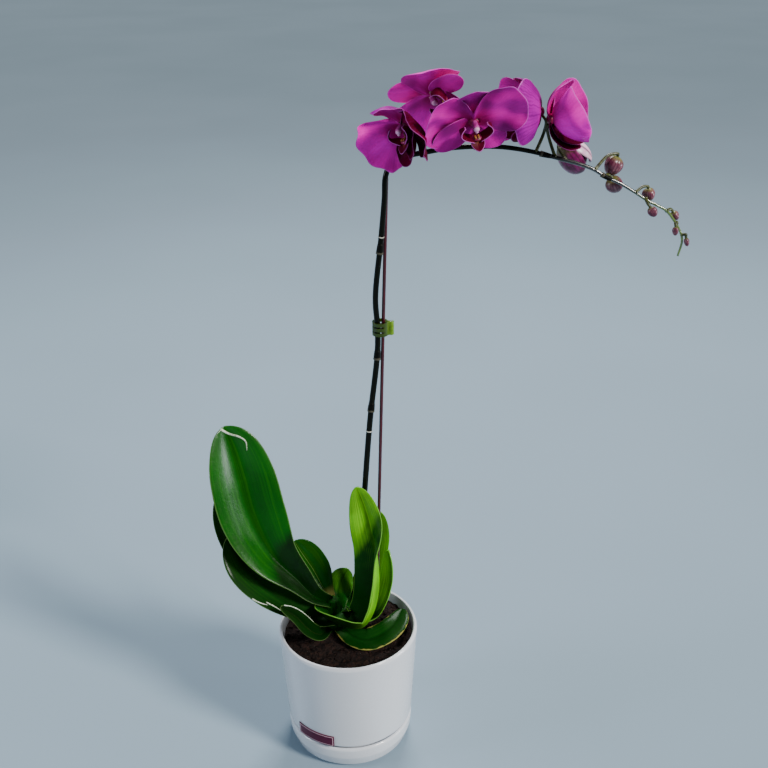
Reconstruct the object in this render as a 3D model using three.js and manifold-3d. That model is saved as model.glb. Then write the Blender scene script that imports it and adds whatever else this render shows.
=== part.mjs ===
// A potted moth orchid: a white pot on its saucer, ten leaves round a short crown, and one
// arching flower spike with five open flowers, an opening bud and seven closed buds.
// Millimetres. +Z is up, +X runs along the arch, and the origin is the centre of the
// saucer's underside.

import * as THREE from 'three';
import { mergeVertices } from 'three/addons/utils/BufferGeometryUtils.js';
import Module from 'manifold-3d';

// Driving dimensions

const GAP = 0.3; // clearance between pieces that touch
const SMALLEST = 0.2; // detail that may be smoothed away where shapes are fused
const ROUND = 28; // facets round the pot and the saucer

const RIM_RADIUS = 65;
const RIM_HEIGHT = 126.4;
const WALL = 4.2;
const FOOT_HEIGHT = 6; // underside of the pot, over the saucer's floor
const FLOOR_TOP = 12; // inner floor of the pot
const DRAIN_RADIUS = 6;
const STEP_HEIGHT = 27.3; // where the pot's body steps in over the saucer's lip
const BODY_FOOT_RADIUS = 59.4; // body just above that step
const SAUCER_BASE_RADIUS = 50;
const SAUCER_LIP_HEIGHT = 26.4;
const MIX_HEIGHT = 117;

const LABEL = { from: -140.5, to: -103, low: 29.5, high: 42, thick: 0.6 };

const CROWN = { x: -14, y: 6, foot: 104, top: 152, footRadius: 10, topRadius: 6.5 };
const STAKE = { foot: [26.3, 25.3, 104], top: [40, 2, 557], radius: 1.5 };

// The stem, from the mix up along the stake and over the arch to its tip.
const STEM = [
  [2, 13, 106], [4, 14, 130], [8, 16, 158], [13, 16, 196], [18, 14, 265], [24, 11, 338],
  [31, 6.2, 402], [31.4, 5.7, 424], [30, 3, 452], [35, 0, 502], [38, -3, 536], [39, -3, 553],
  [43, -2, 562], [52, -1, 567], [69, 0, 570.5], [88, 0, 573.5], [107, 0, 574.5], [126, 0, 574],
  [141, 0, 572], [153, 0, 569.5], [172, 0, 564.5], [186, 0, 560.5], [198, 0, 556], [208, 0, 550],
  [219, 0, 545], [231, 0, 538], [242, 0, 531], [250, 0, 527], [257, 0, 523], [266, 0, 512],
  [271, 0, 503], [272, 0, 497], [270, 0, 486],
];
const stemRadius = (along) => blend([3, 2.9, 2.7, 2.6, 2.5, 2.4, 2.3, 2.1, 1.9, 1.6, 1.2, 0.9], along);

const LEAF_THICKNESS = 1.8;
const TEPAL_THICKNESS = 0.8;
const HUB_RADIUS = 4.2; // where the sepals and petals of a flower meet
const HUB_DEPTH = 3.4;

// Materials

const finish = (color, roughness) => new THREE.MeshStandardMaterial({ color, roughness, metalness: 0 });
const GLAZE = finish(0xe4e7ee, 0.18);
const MAROON_VINYL = finish(0x5a2438, 0.5);
const BARK = finish(0x2c1a14, 0.95);
const CROWN_GREEN = finish(0x3d5a1e, 0.6);
const LEAF_GREEN = finish(0x1f6a1c, 0.35);
const YOUNG_LEAF_GREEN = finish(0x4f9a22, 0.4);
const SPIKE_GREEN = finish(0x2b3a20, 0.4);
const STAKE_MAROON = finish(0x4a1420, 0.45);
const CLIP_GREEN = finish(0x5c8a2c, 0.4);
const STEEL = new THREE.MeshStandardMaterial({ color: 0xb8bcc0, roughness: 0.3, metalness: 1 });
const MAGENTA = finish(0xb1089c, 0.55);
const CRIMSON = finish(0x6e0a38, 0.45);
const COLUMN_PINK = finish(0xe6b8dc, 0.45);
const BUD_PINK = finish(0x9c5a72, 0.5);

// Shapes

const wasm = await Module();
wasm.setup();

const vector = (values) => new THREE.Vector3(...values);
const route = (points) => new THREE.CatmullRomCurve3(points.map(vector));
const radians = THREE.MathUtils.degToRad;

// Welds a geometry's shared corners, so that it is one closed body.
function welded(geometry) {
  const bare = new THREE.BufferGeometry();
  bare.setAttribute('position', geometry.attributes.position);
  bare.setIndex(geometry.index);
  return mergeVertices(bare, 1e-4);
}

function asSolid(geometry) {
  const closed = welded(geometry);
  return new wasm.Manifold(new wasm.Mesh({
    numProp: 3,
    vertProperties: Float32Array.from(closed.attributes.position.array),
    triVerts: Uint32Array.from(closed.index.array),
  }));
}

// The outer body of a solid, without details below the given size or any pocket sealed
// inside it.
function asGeometry(solid, smallest) {
  const bodies = solid.simplify(smallest).decompose();
  const mesh = bodies.reduce((best, next) => (next.volume() > best.volume() ? next : best)).getMesh();
  const geometry = new THREE.BufferGeometry();
  geometry.setAttribute('position', new THREE.BufferAttribute(mesh.vertProperties, 3));
  geometry.setIndex(new THREE.BufferAttribute(mesh.triVerts, 1));
  return geometry;
}

function fuse(...geometries) {
  return asGeometry(geometries.map(asSolid).reduce((whole, next) => whole.add(next)), SMALLEST);
}

// Cuts the other geometries out of the first one.
function cut(geometry, ...cutters) {
  const left = cutters.map(asSolid).reduce((rest, next) => rest.subtract(next), asSolid(geometry));
  return asGeometry(left, SMALLEST / 4);
}

// A round stem along a curve. radiusAt gives its radius at 0 (start) to 1 (end).
function stalk(curve, radiusAt, steps, sides) {
  const rod = new THREE.CylinderGeometry(1, 1, 1, sides, steps);
  const frames = curve.computeFrenetFrames(steps, false);
  const place = rod.attributes.position;
  for (let i = 0; i < place.count; i += 1) {
    const along = place.getY(i) + 0.5;
    const step = Math.round(along * steps);
    const radius = radiusAt(along);
    const point = curve.getPointAt(along)
      .addScaledVector(frames.normals[step], place.getX(i) * radius)
      .addScaledVector(frames.binormals[step], -place.getZ(i) * radius);
    place.setXYZ(i, point.x, point.y, point.z);
  }
  return welded(rod);
}

// A thin closed blade. surface(v, u) gives its middle: v runs -1 to 1 across, u 0 to 1 along.
// Both faces have the same grid and the same diagonals, joined by a strip round the rim.
function blade(surface, across, along, thicknessAt) {
  const sheet = new THREE.PlaneGeometry(2, 1, across, along);
  const place = sheet.attributes.position;
  const count = place.count;
  const corners = [];
  const small = 1e-3;
  for (const side of [0.5, -0.5]) {
    for (let i = 0; i < count; i += 1) {
      const v = place.getX(i);
      const u = 0.5 - place.getY(i);
      const alongU = surface(v, Math.min(1, u + small)).sub(surface(v, Math.max(0, u - small)));
      const acrossV = surface(v + small, u).sub(surface(v - small, u));
      const normal = alongU.cross(acrossV).normalize();
      corners.push(...surface(v, u).addScaledVector(normal, side * thicknessAt(v, u)));
    }
  }
  const front = [...sheet.index.array];
  const back = front.map((corner) => corner + count).reverse();
  const row = across + 1;
  const edge = [];
  for (let x = 0; x < across; x += 1) edge.push(along * row + x);
  for (let y = along; y > 0; y -= 1) edge.push(y * row + across);
  for (let x = across; x > 0; x -= 1) edge.push(x);
  for (let y = 0; y < along; y += 1) edge.push(y * row);
  const rim = edge.flatMap((here, i) => {
    const next = edge[(i + 1) % edge.length];
    return [next, here, here + count, next, here + count, next + count];
  });
  const geometry = new THREE.BufferGeometry();
  geometry.setAttribute('position', new THREE.Float32BufferAttribute(corners, 3));
  geometry.setIndex([...front, ...back, ...rim]);
  return geometry;
}

// A turned shape, from a profile of [radius, height] points.
function turned(profile, segments = ROUND) {
  const points = profile.map(([radius, height]) => new THREE.Vector2(radius, height));
  return welded(new THREE.LatheGeometry(points, segments).rotateX(Math.PI / 2));
}

function ellipsoid(centre, radii, width, height) {
  return welded(new THREE.SphereGeometry(1, width, height).scale(...radii).translate(...centre));
}

// The value at t (0 to 1) in a list of evenly spaced values.
function blend(values, t) {
  const place = Math.min(t, 0.99999) * (values.length - 1);
  const index = Math.floor(place);
  return THREE.MathUtils.lerp(values[index], values[index + 1], place - index);
}

const plant = new THREE.Group();

function add(name, geometry, material, parent = plant) {
  const mesh = new THREE.Mesh(geometry, material);
  mesh.name = name;
  parent.add(mesh);
  return mesh;
}

// Pot and saucer

const POT_PROFILE = [
  [DRAIN_RADIUS, FOOT_HEIGHT + 2],
  [42, FOOT_HEIGHT + 2],
  [44, FOOT_HEIGHT],
  [50, FOOT_HEIGHT],
  [54.2, STEP_HEIGHT - 1.2],
  [BODY_FOOT_RADIUS - 1, STEP_HEIGHT],
  [BODY_FOOT_RADIUS, STEP_HEIGHT + 1.4],
  [RIM_RADIUS - 0.4, RIM_HEIGHT - 8],
  [RIM_RADIUS, RIM_HEIGHT - 3.2],
  [RIM_RADIUS - 1.2, RIM_HEIGHT - 0.4],
  [RIM_RADIUS - 3.2, RIM_HEIGHT - 0.4],
  [RIM_RADIUS - WALL - 0.6, RIM_HEIGHT - 9],
  [BODY_FOOT_RADIUS - WALL - 0.4, STEP_HEIGHT + 2],
  [48, FLOOR_TOP + 3],
  [44, FLOOR_TOP],
  [DRAIN_RADIUS, FLOOR_TOP],
];
add('pot', turned([...POT_PROFILE, POT_PROFILE[0]]), GLAZE);

const SAUCER_FLOOR = FOOT_HEIGHT - GAP;
add('saucer', turned([
  [0, 0],
  [SAUCER_BASE_RADIUS, 0],
  [SAUCER_BASE_RADIUS + 5.6, 4],
  [SAUCER_BASE_RADIUS + 9, 14.5],
  [BODY_FOOT_RADIUS + 0.2, SAUCER_LIP_HEIGHT - 1.4],
  [BODY_FOOT_RADIUS - 0.4, SAUCER_LIP_HEIGHT],
  [BODY_FOOT_RADIUS - 2.6, SAUCER_LIP_HEIGHT],
  [BODY_FOOT_RADIUS - 3.2, SAUCER_LIP_HEIGHT - 1.4],
  [BODY_FOOT_RADIUS - 4.4, 14],
  [52.6, SAUCER_FLOOR + 1.6],
  [51, SAUCER_FLOOR],
  [0, SAUCER_FLOOR],
]), GLAZE);

// The label follows the body's cone, just clear of it.
const BODY_SLOPE = (RIM_RADIUS - 0.4 - BODY_FOOT_RADIUS) / (RIM_HEIGHT - 8 - STEP_HEIGHT - 1.4);
const bodyRadius = (height) => BODY_FOOT_RADIUS + (height - STEP_HEIGHT - 1.4) * BODY_SLOPE;
add('label', blade((v, u) => {
  const angle = radians(THREE.MathUtils.lerp(LABEL.from, LABEL.to, (v + 1) / 2));
  const height = THREE.MathUtils.lerp(LABEL.high, LABEL.low, u);
  const radius = bodyRadius(height) + GAP + LABEL.thick / 2;
  return vector([radius * Math.cos(angle), radius * Math.sin(angle), height]);
}, 8, 1, () => LABEL.thick), MAROON_VINYL);

// Crown and stake, and the mix with their holes

function crownShape(grow) {
  const { x, y, foot, top, footRadius, topRadius } = CROWN;
  return turned([
    [0, foot - grow],
    [footRadius + grow, foot - grow],
    [footRadius + grow, foot + 14],
    [topRadius + 2 + grow, top - 10],
    [topRadius + grow, top - 2],
    [0, top + 1 + grow],
  ], 14).translate(x, y, 0);
}
add('crown', crownShape(0), CROWN_GREEN);

function stakeShape(grow) {
  const line = new THREE.LineCurve3(vector(STAKE.foot), vector(STAKE.top));
  const reach = new THREE.LineCurve3(line.getPoint(-grow / 450), line.getPoint(1));
  return stalk(grow ? reach : line, () => STAKE.radius + grow, 1, 10);
}
add('stake', stakeShape(0), STAKE_MAROON);

// The part of the stem below the leaves, with room round it.
function stemFoot() {
  const line = new THREE.LineCurve3(vector(STEM[0]), vector(STEM[1]));
  const longer = new THREE.LineCurve3(line.getPoint(-0.02), line.getPoint(1));
  return stalk(longer, () => stemRadius(0) + GAP + 0.1, 1, 6);
}

// Chunks of bark and coir: a few waves of unlike length, none deeper than 2 mm.
function mixRelief(x, y) {
  return 1.1 * Math.sin(x * 0.31 + 1.3) * Math.cos(y * 0.27 - 0.4)
    + 0.8 * Math.sin(x * 0.17 - y * 0.36 + 2.1);
}

function pottingMix() {
  const wall = RIM_RADIUS - WALL - 0.6 - GAP - 0.35;
  const shape = turned([
    [0, FLOOR_TOP + GAP],
    [43.5, FLOOR_TOP + GAP],
    [47.2, FLOOR_TOP + GAP + 3.2],
    [BODY_FOOT_RADIUS - WALL - 0.9 - GAP, STEP_HEIGHT + 2.4],
    [wall, MIX_HEIGHT - 2],
    [52, MIX_HEIGHT],
    [42, MIX_HEIGHT],
    [31, MIX_HEIGHT],
    [19, MIX_HEIGHT],
    [8, MIX_HEIGHT],
    [0, MIX_HEIGHT],
  ], 22);
  const place = shape.attributes.position;
  for (let i = 0; i < place.count; i += 1) {
    if (place.getZ(i) > MIX_HEIGHT - 1) {
      place.setZ(i, MIX_HEIGHT + mixRelief(place.getX(i), place.getY(i)));
    }
  }
  return cut(shape, crownShape(GAP), stakeShape(GAP), stemFoot());
}
add('potting_mix', pottingMix(), BARK);

// Leaves. Each has a spine from its base to its tip, the way its upper face looks at its
// base, middle and tip, how far its halves fold up there in degrees, and its half width.

const LEAVES = {
  leaf_left_tall: {
    spine: [[-17, 3, 147], [-31, 0, 157], [-46, 4, 173], [-69, 10, 198], [-86, 18, 236],
      [-94, 25, 270], [-100, 30, 296], [-107, 34, 319]],
    face: [[0.2, -0.5, 0.8], [0.3, -0.85, 0.4], [0.35, -0.85, 0.3]],
    fold: [52, 34, 26],
    half: 36,
    neck: 0.26,
    belly: 0.62,
  },
  leaf_left_back: {
    spine: [[-18, 9.6, 139.4], [-31, 15.5, 145.4], [-45, 16, 150], [-68, 22, 162], [-91, 30, 184],
      [-106, 38, 214], [-114, 44, 250]],
    face: [[0.2, -0.4, 0.9], [0.35, -0.7, 0.6], [0.4, -0.85, 0.3]],
    fold: [40, 30, 20],
    half: 24,
    neck: 0.35,
    belly: 0.6,
  },
  leaf_left_under: {
    spine: [[-16, -0.5, 128], [-26, -7, 135], [-37, -7, 144], [-54, -5, 153], [-75, 1, 167],
      [-95, 8, 187], [-108, 16, 214]],
    face: [[0.1, -0.3, 0.95], [0.3, -0.5, 0.8], [0.4, -0.8, 0.4]],
    fold: [40, 28, 20],
    half: 22,
    neck: 0.4,
    belly: 0.55,
  },
  leaf_left_inner: {
    spine: [[-15, 9, 145], [-24, 16, 158], [-33, 24, 172], [-43, 31, 185], [-50, 36, 195]],
    face: [[-0.1, -0.6, 0.8], [-0.1, -0.8, 0.5], [0, -0.9, 0.3]],
    fold: [40, 28, 20],
    half: 20,
    neck: 0.3,
    belly: 0.55,
  },
  leaf_left_low: {
    spine: [[-18, 1, 121], [-25, -16, 126], [-34, -27, 140], [-46, -30, 158], [-59, -30, 169]],
    face: [[0.1, -0.5, 0.8], [0.2, -0.6, 0.7], [0.3, -0.6, 0.7]],
    fold: [34, 40, 34],
    half: 9,
    neck: 0.6,
    belly: 0.5,
  },
  leaf_right_tall: {
    spine: [[-12, -2, 137], [-16, -14, 142], [-10, -20, 144], [1, -22, 139], [14, -19, 137],
      [24, -13, 150], [29, -8, 174], [28, -4, 200], [24, -1, 226], [18, 2, 251], [11, 4, 273]],
    face: [[0.2, 0.5, 0.9], [0, 0.3, 1], [-0.3, 0, 0.95], [-0.8, -0.4, 0.4], [-0.8, -0.55, 0.1],
      [-0.4, -0.9, 0.2], [-0.1, -0.95, 0.2]],
    fold: [40, 45, 55, 55, 46, 30, 15],
    half: 29,
    neck: 0.75,
    belly: 0.5,
    bluntness: 1.6,
  },
  leaf_right_outer: {
    spine: [[-10, 5, 127], [4, 2, 125], [16, 5, 125], [28, 8, 131], [37, 9, 148], [41, 10, 167],
      [41, 11, 184], [39, 12, 200]],
    face: [[-0.4, 0, 1], [-0.8, -0.4, 0.5], [-0.85, -0.5, 0.2], [-0.8, -0.55, 0.1]],
    fold: [50, 50, 45, 30],
    half: 16,
    neck: 0.6,
    belly: 0.6,
  },
  leaf_right_inner: {
    spine: [[-10, 12, 134], [-9, 23, 147], [-6, 27, 157], [0, 31, 166]],
    face: [[0, -0.9, 0.4], [0.1, -0.9, 0.3], [0.1, -0.9, 0.3]],
    fold: [25, 18, 12],
    half: 13,
    neck: 0.6,
    belly: 0.5,
  },
  leaf_right_back: {
    spine: [[-12, 11, 129], [-5, 24, 129], [8, 32, 138], [22, 35, 166], [28, 38, 192], [31, 40, 224]],
    face: [[-0.2, -0.9, 0.3], [-0.3, -0.9, 0.2], [-0.2, -0.9, 0.3]],
    fold: [35, 25, 15],
    half: 14,
    neck: 0.5,
    belly: 0.6,
  },
  leaf_right_low: {
    spine: [[-5, 0, 121.5], [4, -13, 121.5], [18, -20, 121.5], [34, -13, 123], [46, 2, 125],
      [52, 18, 128]],
    face: [[0, 0, 1], [0, -0.2, 1], [-0.2, -0.2, 1]],
    fold: [12, 20, 14],
    half: 14,
    neck: 0.7,
    belly: 0.45,
  },
};

function leafHalfWidth(leaf, s) {
  if (s < leaf.belly) {
    const swell = Math.sin((Math.PI / 2) * (s / leaf.belly)) ** 1.4;
    return leaf.half * (leaf.neck + (1 - leaf.neck) * swell);
  }
  const rest = (s - leaf.belly) / (1 - leaf.belly);
  return Math.max(0.7, leaf.half * Math.sqrt(Math.max(0, 1 - rest ** (leaf.bluntness ?? 2.4))));
}

function leafSurface(leaf) {
  const spine = route(leaf.spine);
  const face = route(leaf.face);
  return (v, u) => {
    const s = 1 - (1 - u) ** 1.6;
    const along = spine.getTangentAt(s);
    const across = along.clone().cross(face.getPoint(s)).normalize();
    const up = across.clone().cross(along);
    const half = leafHalfWidth(leaf, s);
    const fold = radians(blend(leaf.fold, s));
    const reach = Math.sqrt(v * v + 0.03) - Math.sqrt(0.03);
    return spine.getPointAt(s)
      .addScaledVector(across, half * v * Math.cos(fold))
      .addScaledVector(up, half * (reach * Math.sin(fold) - 0.12 * v ** 4));
  };
}

const bigLeaves = ['leaf_left_tall', 'leaf_right_tall'];
for (const [name, leaf] of Object.entries(LEAVES)) {
  const [across, along] = bigLeaves.includes(name) ? [6, 12] : [4, 9];
  const shape = blade(leafSurface(leaf), across, along, (v) => LEAF_THICKNESS * (1 - 0.45 * v * v));
  add(name, cut(shape, crownShape(GAP)), name.includes('right') ? YOUNG_LEAF_GREEN : LEAF_GREEN);
}

// Flowers. Each sits at its hub, looks along face, and its dorsal sepal points along up.
// Angles are degrees. A tepal stands at turn round the hub, leans forward by open and bends
// on by curl. The five are the right and left petal, the dorsal sepal, and the right and
// left lateral sepal, as seen by someone who faces the flower.

const PETAL = {
  length: 41, width: 45, narrow: 0.3, lift: 1.3, cupping: 0.6, ruffle: 0.8,
  columns: 7, rows: 3,
};
const DORSAL = {
  length: 37, width: 25, narrow: 0.12, lift: -1.1, cupping: 0.3, ruffle: 0.3,
  columns: 5, rows: 2,
};
const LATERAL = {
  length: 36, width: 24, narrow: 0.1, lift: -1.1, cupping: 0.3, ruffle: 0.3,
  columns: 5, rows: 2,
};
const TEPALS = [
  { ...PETAL, turn: 12 },
  { ...PETAL, turn: 168 },
  { ...DORSAL, turn: 90 },
  { ...LATERAL, turn: -56 },
  { ...LATERAL, turn: -124 },
];

const BLOOMS = [
  {
    at: [52.5, -13.2, 594.3], face: [-0.49, -0.72, -0.49], up: [-0.57, -0.16, 0.81], size: 0.95,
    open: [-15, 17, -20, 14, 20], shift: [-26, 18, 0, 6, 42], curl: [97, 52, 112, 75, 60], spread: 0.8,
    from: [49, -1.5, 565.5], by: [44, 4, 584], entry: 0,
  },
  {
    at: [75.3, 10.7, 611.7], face: [0.05, -0.78, -0.62], up: [-1, -0.05, -0.03], size: 0.94,
    open: [-29, 0, -16, 15, 20], shift: [-12, -13, 10, 26, 14], curl: [82, 20, 26, 1, 20], spread: 1,
    from: [88, 0, 573.5], by: [93, 25, 597], entry: 0,
  },
  {
    at: [102.6, -31.6, 600.1], face: [0.19, -0.84, -0.51], up: [-0.09, -0.53, 0.84], size: 0.98,
    open: [-1, -24, -26, 2, 7], shift: [8, -3, -3, 1, -29], curl: [9, 66, 79, 1, 1], spread: 1,
    from: [107, 0, 574.5], by: [104, -2, 592], entry: 0,
  },
  {
    at: [154.5, 4.5, 599], face: [-0.96, 0.08, 0], up: [0, 0.36, 0.93], size: 1.03,
    open: [-24, 20, -14, -10, 8], shift: [-24, -10, 8, -10, 0], curl: [114, 60, 110, 108, 92],
    spread: 0.5,
    from: [153, 0, 569.5], by: [159.5, 6, 584], entry: 55,
  },
  {
    at: [164, 1, 594.5], face: [0.85, -0.47, 0.24], up: [-0.28, -0.02, 0.96], size: 1.02,
    open: [-17, 12, -12, -4, -19], shift: [-16, 25, -16, 0, 36], curl: [82, 107, 106, 84, 108],
    spread: 0.4,
    from: [168, 0, 565.5], by: [163, 5, 580], entry: 55,
  },
];

// The outline is swept by v and shrinks to the claw as u goes from 1 to 0.
function tepalSurface({ length, width, narrow, lift, turn, open, curl, cup, ruffle }) {
  const start = radians(open);
  const bend = radians(curl) || 1e-4;
  return (v, u) => {
    const sweep = Math.PI * (1 + 0.93 * v);
    const reach = 0.1 + 0.9 * u;
    const x = reach * (length / 2) * (1 - Math.cos(sweep));
    const y = reach * (width / 2) * Math.sin(sweep) * (1 - narrow * Math.cos(sweep));
    const lean = start + bend * (x / length);
    const height = cup * (2 * y * y) / width + ruffle * Math.sin(5 * Math.PI * v + turn) * u ** 3;
    const forward = (length / bend) * (Math.sin(lean) - Math.sin(start)) - height * Math.sin(lean);
    const rise = (length / bend) * (Math.cos(start) - Math.cos(lean)) + height * Math.cos(lean);
    return vector([forward, y, rise + lift]).applyAxisAngle(vector([0, 0, 1]), radians(turn));
  };
}

const hubShape = (grow) => ellipsoid(
  [0, 0, -0.8],
  [HUB_RADIUS + grow, HUB_RADIUS + grow, HUB_DEPTH + grow],
  6,
  4,
);

// A cup that follows the lean and the curl, so that neighbours lie in each other.
const tepalCup = (tepal, open, curl) => 0.06
  + tepal.cupping * Math.tan(radians(open))
  + 0.25 * (tepal.width / tepal.length) * radians(curl);

// The five tepals, thicker by grow on each face.
function tepals(bloom, grow) {
  return TEPALS.map((tepal, index) => {
    const open = bloom.open[index];
    const curl = bloom.curl[index];
    const turn = tepal.turn + bloom.shift[index];
    const length = tepal.length * bloom.size;
    const width = tepal.width * bloom.size;
    const cup = tepalCup(tepal, open, curl);
    const surface = tepalSurface({ ...tepal, length, width, turn, open, curl, cup });
    return blade(surface, tepal.columns, tepal.rows, () => TEPAL_THICKNESS + 2 * grow);
  });
}

function columnShape(grow) {
  const rod = stalk(
    route([[0, 0.4, 0], [0, 0.8, 4], [0, 0, 8]]),
    (along) => 1.7 + 0.8 * along + grow,
    2,
    6,
  );
  return fuse(rod, ellipsoid([0, -0.4, 8.4], [2.6 + grow, 2.3 + grow, 2 + grow], 6, 4));
}

// The lip hangs on a claw under the column: a seat, a short middle lobe in front of it and
// two side lobes that curve up round the column.
function lipShape(bloom) {
  const claw = stalk(route([[0, -1, -1], [0, -5, 3.5], [0, -8.5, 6]]), () => 1.4, 2, 4);
  const seat = ellipsoid([0, -8.8, 7], [4, 1.8, 4.4], 6, 3);
  const midlobe = blade(tepalSurface({
    length: 11, width: 10, narrow: -0.3, lift: 0, turn: -90, open: 55, curl: 30, cup: 0.2, ruffle: 0,
  }), 5, 2, () => TEPAL_THICKNESS).translate(0, -9, 8);
  const sideLobes = [1, -1].map((side) => blade((v, u) => vector([
    side * (2.2 + 9.5 * bloom.spread * Math.sin(0.8 * Math.PI * u)),
    -9.4 + 12.5 * u,
    8 + side * v * 4.6 * Math.cos(1.3 * u ** 1.6),
  ]), 2, 3, () => TEPAL_THICKNESS));
  return fuse(claw, seat, midlobe, ...sideLobes);
}

function bloomFrame(bloom) {
  const face = vector(bloom.face).normalize();
  const right = vector(bloom.up).cross(face).normalize();
  const up = face.clone().cross(right);
  return new THREE.Matrix4().makeBasis(right, up, face).setPosition(...bloom.at);
}

BLOOMS.forEach((bloom, index) => {
  const flower = new THREE.Group();
  flower.applyMatrix4(bloomFrame(bloom));
  plant.add(flower);
  const name = `bloom_${index + 1}`;
  const perianth = fuse(hubShape(0), ...tepals(bloom, 0));
  const room = [hubShape(GAP), ...tepals(bloom, GAP), perianth];
  add(`${name}_perianth`, perianth, MAGENTA, flower);
  add(`${name}_lip`, cut(lipShape(bloom), columnShape(GAP), ...room), CRIMSON, flower);
  add(`${name}_column`, cut(columnShape(0), ...room), COLUMN_PINK, flower);
});

// Flower spike: the stem with its sheaths, and a pedicel to each flower and bud

const SHEATHS = [0.18, 0.33, 0.4, 0.53, 0.64, 0.72, 0.79, 0.86];
const SHEATH_LENGTH = 0.012;

// Buds: centre, the way its tip points, length and radius, and where its pedicel leaves the
// stem and passes.
const BUDS = [
  {
    at: [214.5, 9.4, 556.5], tip: [-0.35, 0.05, -0.9], long: 15.5, radius: 7.2,
    from: [199, 0, 556], by: [210, 6, 565.5],
  },
  {
    at: [217, 9, 541.5], tip: [0.4, 0.3, -0.75], long: 14, radius: 6.6,
    from: [207, 0, 551], by: [210.5, 5, 550.5],
  },
  {
    at: [243.5, 5, 534.6], tip: [0.2, 0.1, -0.95], long: 10.5, radius: 5,
    from: [232, 0, 538], by: [238, 3, 541.5],
  },
  {
    at: [245, -6, 524], tip: [0.5, -0.2, -0.8], long: 8.5, radius: 3.7,
    from: [240, 0, 533], by: [241, -4, 530],
  },
  {
    at: [265.5, 4.4, 517.5], tip: [0.5, 0.2, -0.8], long: 8.5, radius: 3.4,
    from: [257, 0, 523], by: [261, 3, 523.3],
  },
  {
    at: [264.8, -4, 507.6], tip: [0, -0.2, -1], long: 7, radius: 2.4,
    from: [266, 0, 513], by: [264.5, -3, 513.2],
  },
  {
    at: [275.3, -2, 498], tip: [0.2, -0.2, -1], long: 7, radius: 2.1,
    from: [271, 0, 503.5], by: [274, -1.6, 504],
  },
];
const OPENING_BUD = {
  at: [185.5, 20, 562], tip: [0.55, 0.15, -0.6], long: 27, radius: 11.5,
  from: [176, 0, 563.5], by: [171.5, 9, 571],
};

function pedicel(from, by, before, end) {
  const thickness = (along) => 1.35 - 0.25 * along;
  return stalk(route([from, by, before.toArray(), end.toArray()]), thickness, 5, 5);
}

// Ends just short of the hub. entry is the angle from straight behind towards below.
function flowerPedicel(bloom) {
  const entry = radians(bloom.entry);
  const away = vector([0, -Math.sin(entry), -Math.cos(entry)]);
  const reach = 1 / Math.hypot(away.y / HUB_RADIUS, away.z / HUB_DEPTH) + GAP;
  const frame = bloomFrame(bloom);
  const at = (distance) => vector([0, 0, -0.8]).addScaledVector(away, distance).applyMatrix4(frame);
  return pedicel(bloom.from, bloom.by, at(reach + 4), at(reach));
}

function budPedicel(bud) {
  const tip = vector(bud.tip).normalize();
  const base = vector(bud.at).addScaledVector(tip, -bud.long / 2 - GAP);
  return pedicel(bud.from, bud.by, base.clone().addScaledVector(tip, -bud.long * 0.12), base);
}

function spike() {
  const line = route(STEM);
  const sheaths = SHEATHS.map((start) => {
    const part = new THREE.LineCurve3(line.getPointAt(start), line.getPointAt(start + SHEATH_LENGTH));
    const radius = stemRadius(start);
    return stalk(part, (along) => radius + 0.75 * (1 - along), 1, 6);
  });
  return fuse(
    stalk(line, stemRadius, 50, 6),
    ...sheaths,
    ...BLOOMS.map(flowerPedicel),
    ...[...BUDS, OPENING_BUD].map(budPedicel),
  );
}
add('spike', cut(spike(), crownShape(GAP)), SPIKE_GREEN);

// Closed buds are blunt eggs with three seams.
function budShape({ long, radius }, width, height) {
  const egg = new THREE.SphereGeometry(1, width, height).rotateX(Math.PI / 2);
  const place = egg.attributes.position;
  for (let i = 0; i < place.count; i += 1) {
    const around = Math.atan2(place.getY(i), place.getX(i));
    const girth = radius * (1 - 0.06 * Math.cos(3 * around)) * (1 - 0.16 * place.getZ(i));
    place.setXYZ(i, place.getX(i) * girth, place.getY(i) * girth, (place.getZ(i) * long) / 2);
  }
  return welded(egg);
}

function placeAlong(mesh, bud) {
  mesh.quaternion.setFromUnitVectors(vector([0, 0, 1]), vector(bud.tip).normalize());
  mesh.position.set(...bud.at);
}

BUDS.forEach((bud, index) => {
  placeAlong(add(`bud_${index + 1}`, budShape(bud, 8, 5), BUD_PINK), bud);
});

// The opening bud: three sepals that part at their tips, round the folded petals.
function openingBud({ long, radius }) {
  const sepals = [90, 210, 330].map((turn) => blade((v, u) => {
    const t = 0.06 + 0.86 * u;
    const angle = radians(turn + v * 66 * (1 - 0.8 * u ** 3));
    const girth = radius * Math.sin(Math.PI * t) ** 0.75 + 2 * u ** 2;
    return vector([girth * Math.cos(angle), girth * Math.sin(angle), (-long / 2) * Math.cos(Math.PI * t)]);
  }, 3, 3, () => TEPAL_THICKNESS));
  return fuse(budShape({ long: long * 0.97, radius: radius * 0.88 }, 6, 5), ...sepals);
}
placeAlong(add('bud_opening', openingBud(OPENING_BUD), BUD_PINK), OPENING_BUD);

// Claw clip round the stem and the stake. Its pin stands upright beside the jaws.

const CLIP = {
  at: [33.7, 7.1, 424],
  inner: 5.7,
  wall: 1.2,
  height: 11.4,
  pin: 9, // from the jaws' centre to the pin
  pinRadius: 0.8,
  knuckle: 2.3,
  lever: 8.5,
  flare: 28, // degrees between a lever and the clip's middle
};

// An upright plate with the outline of part of a ring, seen from above.
function arcPlate(inner, outer, from, to, low, high) {
  const shape = new THREE.Shape();
  shape.absarc(0, 0, outer, radians(from), radians(to), false);
  shape.absarc(0, 0, inner, radians(to), radians(from), true);
  const options = { depth: high - low, bevelEnabled: false, curveSegments: 5 };
  return new THREE.ExtrudeGeometry(shape, options).translate(0, 0, low);
}

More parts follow.
